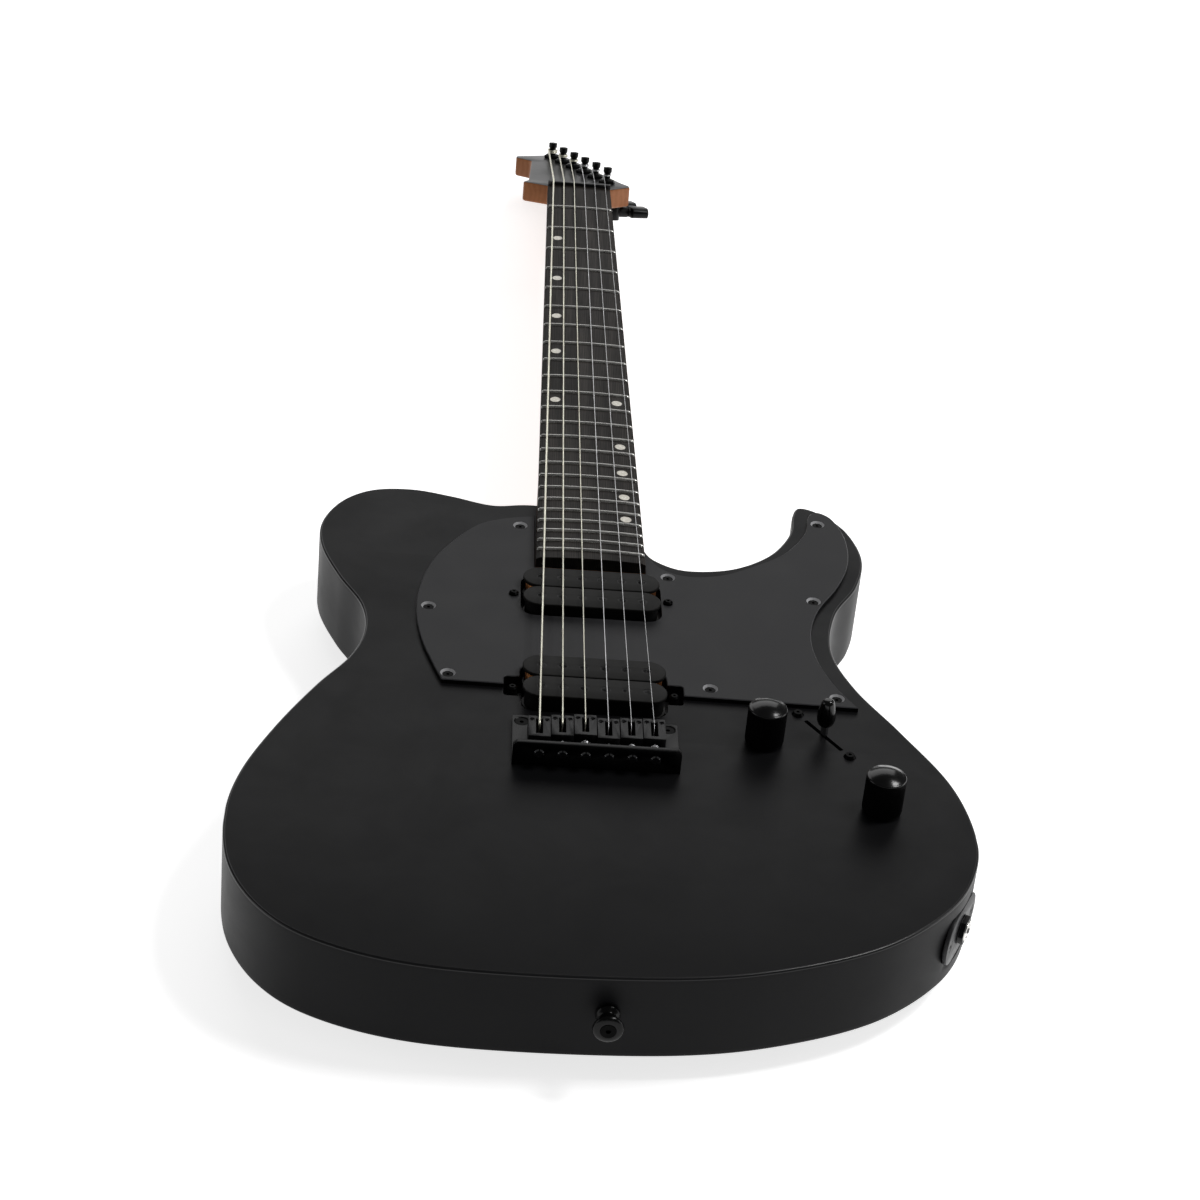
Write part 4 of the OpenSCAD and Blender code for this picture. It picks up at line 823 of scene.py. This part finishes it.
# ---------------------------------------------------------------- pickguard and pickups
GUARD_BASS = [(-29.5, 207), (-45, 203), (-60, 194), (-74, 173), (-84, 150), (-89, 124),
              (-89.5, 100), (-86, 76), (-80, 55), (-75, 40)]
GUARD_TREBLE = [(131, 36.5), (121, 56), (114, 80), (113, 104), (119, 128), (131, 152), (139, 177),
                (140, 203), (135, 224), (127, 231.5), (121.5, 226), (118, 207), (106, 185),
                (89, 169.5), (70, 157), (52, 153.5), (39, 159), (31, 171)]
GUARD_SCREWS = [(-37, 196), (-83.5, 108), (-72, 46), (41, 151), (126, 218), (117, 136), (58, 46),
                (121, 44)]
BEVEL = 0.4                             # height and width of the sheet's slanted edge
SINK_R, SINK_HOLE, SINK_DEPTH = 3.8, 1.6, 2.2


def build_pickguard():
    """Pickguard: one sheet with a narrow slanted edge, two pickup openings, and a cone cut round
    each screw down to its hole. The cones show the sheet's pale core; the walls are painted near
    black, painted shade for a wall that stands in shadow."""
    half = neck_half(HEEL_Y) + 0.3
    bass = through(on_body(GUARD_BASS), 6, closed=False)
    treble = through(on_body(GUARD_TREBLE), 6, closed=False)
    bass, treble = bass[bass[:, 0] < -half], treble[treble[:, 0] > half]
    notch = np.array([(half, treble[-1][1]), (half, HEEL_Y - 0.3), (-half, HEEL_Y - 0.3),
                      (-half, bass[0][1])])
    low_edge = np.array([bass[-1], treble[0]])
    well = pickup_well(PICKUP_Y[1])
    upper = well[well[:, 1] > np.interp(well[:, 0], *low_edge.T)][::-1]
    ears = np.array([(x, np.interp(x, *low_edge.T)) for x in (-EAR[0], EAR[0])])
    loop = np.concatenate([bass, ears[:1], upper, ears[1:], treble, notch])
    inner = drawn_in(loop, BEVEL)
    window = box_loop(2 * PICKUP_HALF[0], 2 * PICKUP_HALF[1], 8, (0, PICKUP_Y[0]))
    places = on_body(GUARD_SCREWS)
    wide, narrow = [[ring(x, y, r) for x, y in places] for r in (SINK_R, SINK_HOLE)]
    # the outer wall and the window's wall take the near-black painted shade (finish 2)
    parts = [wall(loop, FRONT, GUARD_TOP - BEVEL) + (2,),
             grid(np.stack([at_height(loop, GUARD_TOP - BEVEL), at_height(inner, GUARD_TOP)]),
                  wrap_v=True) + (1,),
             flat([inner, window, *wide], GUARD_TOP) + (0,),
             flat([loop, window, *narrow], FRONT) + (0,), wall(window, FRONT, GUARD_TOP) + (2,)]
    for w, n in zip(wide, narrow):
        cone = np.stack([at_height(w, GUARD_TOP), at_height(n, GUARD_TOP - SINK_DEPTH), at_height(n, FRONT)])
        parts.append(grid(cone, wrap_v=True) + (3,))
    make("pickguard_sheet", parts, [GUARD, GUARD_EDGE, GUARD_WALL_SHADE, SINK], ("pickguard",),
         sharp=25)


BOBBIN_LENGTH, SPLIT = 71, 0.6
FLANGE, COIL = 1.8, 8.0
POLE_PITCH, POLE_HOLE, POLE_R = 10.4, 2.45, 2.35
POLE_X = np.arange(-2.5, 3) * POLE_PITCH
TAPE_REACH = 34


def tape_strip(at, side, r, z0, z1):
    """Strip of tape round the outer half of one coil: a quarter circle, a straight run and a
    quarter circle, a quarter of a millimetre thick. The coil's inner ends stay bare."""
    a = np.linspace(0, math.pi / 2, 10)
    straight = TAPE_REACH - r
    path = np.concatenate([np.stack([straight + 0 * a, np.cos(a), np.sin(a)], 1),
                           np.stack([-straight + 0 * a, -np.sin(a), np.cos(a)], 1)])
    rows = [np.stack([at[0] + path[:, 0] + (r + out) * path[:, 1],
                      at[1] + side * (r + out) * path[:, 2], np.full(len(path), z)], 1)
            for out, z in ((0.05, z0), (0.3, z0), (0.3, z1), (0.05, z1))]
    return grid(np.stack(rows, 1), wrap_v=True, caps=True)


def build_pickups():
    """Bobbins with eased lips and round ends, one pole through each hole, and each coil's outer
    side wrapped in tape, which leaves the copper bare where the round ends meet."""
    width = (2 * PICKUP_HALF[1] - 2 - SPLIT) / 2
    foot = PICKUP_TOP - 2 * FLANGE - COIL
    top = PICKUP_TOP - 0.1
    pole = [(0, foot - 2), (POLE_R, foot - 2), (POLE_R, top - 0.35), (POLE_R - 0.35, top), (0, top)]
    bobbins, poles, tapes = [], [], []
    for y in PICKUP_Y:
        for s in (-1, 1):
            at = (0, y + s * (width + SPLIT) / 2)
            holes = [ring(x, at[1], POLE_HOLE, 24) for x in POLE_X]
            outline = box_loop(BOBBIN_LENGTH, width, width / 2 - 0.1, at, 14)
            bobbins += plate(outline, PICKUP_TOP - FLANGE, PICKUP_TOP, 0.5, 0.3, holes)
            bobbins += plate(outline, foot, foot + FLANGE, 0.3, 0.3, holes)
            bobbins += plate(box_loop(62, 6.5, 3, at), foot + FLANGE, PICKUP_TOP - FLANGE, 0, 0, holes)
            poles += [turned(pole, (x, at[1], 0), 24) for x in POLE_X]
            tapes.append(tape_strip(at, s, width / 2 - 1, foot + FLANGE, PICKUP_TOP - FLANGE))
    make("bobbins", bobbins, [BOBBIN], ("pickup_bobbins",), sharp=30)
    make("pole_pieces", poles, [POLE], sharp=50)
    make("coil_tapes", tapes, [TAPE], sharp=30)


# ---------------------------------------------------------------- bridge
SPRING_R, SPRING_WIRE, SPRING_TURNS = 2.0, 0.32, 4.5


def build_springs():
    """Saddle springs: a wire along a helix of four and a half turns round each screw, from the
    wall to where the saddle's back end can come."""
    parts = []
    z = middle("intonation_screw_1")[2]
    y0 = low("bridge_plate")[1] + 2.5
    for n in STRINGS:
        y1 = low(f"saddle_{n}")[1] - 3.4
        a = np.linspace(0, math.tau * SPRING_TURNS, 90)
        path = np.stack([SADDLE_X[n - 1] + SPRING_R * np.cos(a), y0 + 0.4 + (y1 - y0 - 0.8) * a / a[-1],
                         z + SPRING_R * np.sin(a)], 1)
        parts.append(tube(path, SPRING_WIRE, 7, (0, 1, 0)))
    make("coil_springs", parts, [STEEL], ("saddle_springs",), sharp=80)


# ---------------------------------------------------------------- controls
KNOB_R, KNOB_GAP = 9.5, 0.8
TEETH, TOOTH_COLUMNS, TOOTH_CUT = 72, 288, 0.16
DOME = 2.4                              # how far a knob's top falls from its middle to its rim


def build_knob(name, at):
    """Knob: a turned cap, a domed top above a rounded rim, its side cut into fine teeth by a
    cosine of the angle, hollow below over the nut, with the shaft up its middle."""
    z = high(f"{name}_knob")[2]
    foot = FRONT + KNOB_GAP
    end = low(f"{name}_knob")[2]
    dome = np.array([(k * 8.6, z - DOME * k ** 2) for k in np.linspace(0, 1, 13)])
    rim = np.array([(8.6 + 0.75 * math.sin(a), z - DOME - 0.75 + 0.75 * math.cos(a))
                    for a in np.linspace(0.55, math.pi / 2, 6)])
    side = np.array([(9.35, z - DOME - 1.3), (KNOB_R, z - DOME - 1.7), (KNOB_R, foot + 1.3),
                     (9.3, foot + 0.9), (9.3, foot + 0.3), (9.0, foot)])
    under = np.array([(7.7, foot), (7.7, foot + 5), (3.0, foot + 5), (3.0, end + 0.3), (2.7, end), (0, end)])
    p = np.concatenate([dome, rim, side, under])
    a = np.arange(TOOTH_COLUMNS) / TOOTH_COLUMNS * math.tau
    toothed = (p[:, 0] > KNOB_R - 0.05) & (p[:, 1] < z - DOME - 1.5) & (p[:, 1] > foot + 1)
    tooth = np.where(toothed, TOOTH_CUT, 0.0)
    radius = p[:, 0][:, None] - tooth[:, None] * (1 + np.cos(TEETH * a))[None, :]
    points = np.stack([at[0] + radius * np.cos(a), at[1] + radius * np.sin(a),
                       np.repeat(p[:, 1][:, None], TOOTH_COLUMNS, 1)], 2)
    make(f"{name}_cap", [grid(points, wrap_v=True)], [KNOB_BLACK], (f"{name}_knob",), f"{name}_control",
         sharp=48)


def build_switch_tip():
    """Switch tip: a turned pear shape, narrow at the foot and blunt at the top."""
    z0, z1 = low("switch_tip")[2], high("switch_tip")[2]
    h = z1 - z0
    p = [(0, 0), (1.6, 0), (2.7, 0.25), (3.6, 1.2), (4.3, 2.8), (4.6, 4.8), (4.4, 7.6), (3.9, 10.2),
         (3.4, 12.4), (2.9, h - 1.1), (2.0, h - 0.25), (0.9, h - 0.02), (0, h)]
    make("switch_cap", [turned(p, (SWITCH[0], SWITCH[1], z0), 48, 4)], [TIP_BLACK], ("switch_tip",),
         "switch_blade", sharp=60)


build_body()
build_neck()
build_headstock()
build_board()
build_frets()
build_strings()
build_pickguard()
build_pickups()
build_springs()
for control, centre in KNOBS.items():
    build_knob(control, centre)
build_switch_tip()

# small hardware: the CAD shape with its edges eased by so many millimetres
EASED = {"nut": (0.35, NUT_BLACK, "black_nut"), "bridge_plate": (0.45, BLACK_METAL, "black_metal"),
         "jack_plate": (0.4, JACK_SATIN, "black_metal"), "strap_buttons": (0.3, PLATE_GLOSS, "black_metal"),
         "control_cover": (0.3, COVER, "cover_plastic"), "tuner_housings": (0.6, BLACK_METAL, "black_metal"),
         "tuner_bushings": (0.25, BLACK_METAL, "black_metal"),
         "back_ferrules": (0.25, BLACK_METAL, "black_metal")}
for cad, (wide, finish, where) in EASED.items():
    eased(cad, wide, finish)
for n in STRINGS:
    eased(f"saddle_{n}", 0.35, SADDLE_BLACK, f"saddle_{n}")
    eased(f"tuner_post_{n}", 0.25, BLACK_METAL, f"tuner_post_{n}")
    eased(f"tuner_button_{n}", 1.6, BLACK_METAL, f"tuner_button_{n}", 4)
    paint(f"intonation_screw_{n}", BLACK_CHROME)

for cad, finish in {
        "inlay_dots": PEARL, "truss_rod": STEEL, "neck_bolts": SCREW_BLACK, "pickguard_screws": SCREW_BLACK,
        "pickup_coils": COPPER, "pickup_baseplates": BASE_PLATE, "pickup_cores": POLE,
        "pickup_screws": SCREW_BLACK, "pickup_tubing": TUBING, "body_screws": SCREW_BLACK, "pots": POT_METAL,
        "switch_frame": POT_METAL, "plate_screws": SCREW_BLACK, "wiring": LEAD,
        "switch_lever": CHROME}.items():
    paint(cad, finish)


def build_jack():
    """Jack: bright inside its barrel's radius; the nut and washer outside that are black."""
    piece = eased("jack_socket", 0.15, JACK_NICKEL)
    mesh = piece.data
    mesh.materials.append(BLACK_METAL)
    points = np.array([v.co for v in mesh.vertices]) / MM - JACK
    out = np.array([math.cos(JACK_TURN), math.sin(JACK_TURN), 0])
    ahead = points @ out
    away = np.linalg.norm(points - ahead[:, None] * out, axis=1)
    outer = [int(away[list(f.vertices)].max() > JACK_BARREL) for f in mesh.polygons]
    mesh.polygons.foreach_set("material_index", outer)


build_jack()


# ---------------------------------------------------------------- floor, lights and camera
FLOOR_HALF = 40000


def build_floor():
    """Wide pale sheet just under the lowest point of the instrument."""
    z = cad_box[0][2] / MM - 1
    s = np.linspace(-FLOOR_HALF, FLOOR_HALF, 3)
    x, y = np.meshgrid(s, s, indexing="ij")
    points = np.stack([x, y, np.full_like(x, z)], 2)
    mesh = bpy.data.meshes.new("floor")
    p, f = grid(points)
    mesh.from_pydata((p * MM).tolist(), [], f)
    m, tree, shader, place = blank("pale floor", 0.9)
    pale = ramp(tree, cloud(tree, place, 3, 3), [(0.3, (0.93, 0.93, 0.93)), (0.7, (0.95, 0.95, 0.95))])
    tree.links.new(pale, shader.inputs["Base Color"])
    shader.inputs["Emission Color"].default_value = (1, 1, 1, 1)
    shader.inputs["Emission Strength"].default_value = 0.75
    mesh.materials.append(m)
    floor = bpy.data.objects.new("floor", mesh)
    bpy.context.scene.collection.objects.link(floor)


def soft_light(name, at, aim, size, power, shape=(1, 1)):
    data = bpy.data.lights.new(name, "AREA")
    data.shape = "RECTANGLE"
    data.size, data.size_y = size * shape[0], size * shape[1]
    data.energy = power
    lamp = bpy.data.objects.new(name, data)
    bpy.context.scene.collection.objects.link(lamp)
    lamp.location = at
    lamp.rotation_euler = (Vector(aim) - Vector(at)).to_track_quat("-Z", "Y").to_euler()


def build_light():
    world = bpy.data.worlds.new("studio")
    bpy.context.scene.world = world
    bpy.context.scene.view_settings.view_transform = "Standard"
    world.use_nodes = True
    world.node_tree.nodes["Background"].inputs["Color"].default_value = (1, 1, 1, 1)
    world.node_tree.nodes["Background"].inputs["Strength"].default_value = 0.1
    soft_light("overhead", (1.25, 0.2, 2.1), (0, 0, 0), 0.7, 27)
    soft_light("sheen", (0, 2.7, 1.75), (0, 0.1, 0), 2.4, 25, (1.2, 0.8))
    soft_light("left fill", (-1.6, -0.1, 0.4), (0, 0.05, 0), 0.8, 2.4)
    soft_light("right fill", (1.6, 0.3, 0.4), (0, 0.15, 0), 0.8, 4)


def build_camera():
    """Camera: looks along az and down by el, then rolls about its own line of sight."""
    az, el, roll = [math.radians(v) for v in (4.06, 31.12, 5.72)]
    ahead = np.array([math.sin(az) * math.cos(el), math.cos(az) * math.cos(el), -math.sin(el)])
    right = np.array([math.cos(az), -math.sin(az), 0])
    up = np.cross(right, ahead)
    right, up = (math.cos(roll) * right + math.sin(roll) * up, math.cos(roll) * up - math.sin(roll) * right)
    data = bpy.data.cameras.new("camera")
    data.lens, data.sensor_width = 85.2, 36
    data.clip_start, data.clip_end = 0.05, 50
    camera = bpy.data.objects.new("camera", data)
    bpy.context.scene.collection.objects.link(camera)
    m = np.eye(4)
    m[:3, 0], m[:3, 1], m[:3, 2] = right, up, -ahead
    m[:3, 3] = np.array([-84.4, -1130.6, 752.4 + BOARD_TOP - 0.2]) * MM
    camera.matrix_world = Matrix(m.tolist())
    bpy.context.scene.camera = camera


build_floor()
build_light()
build_camera()
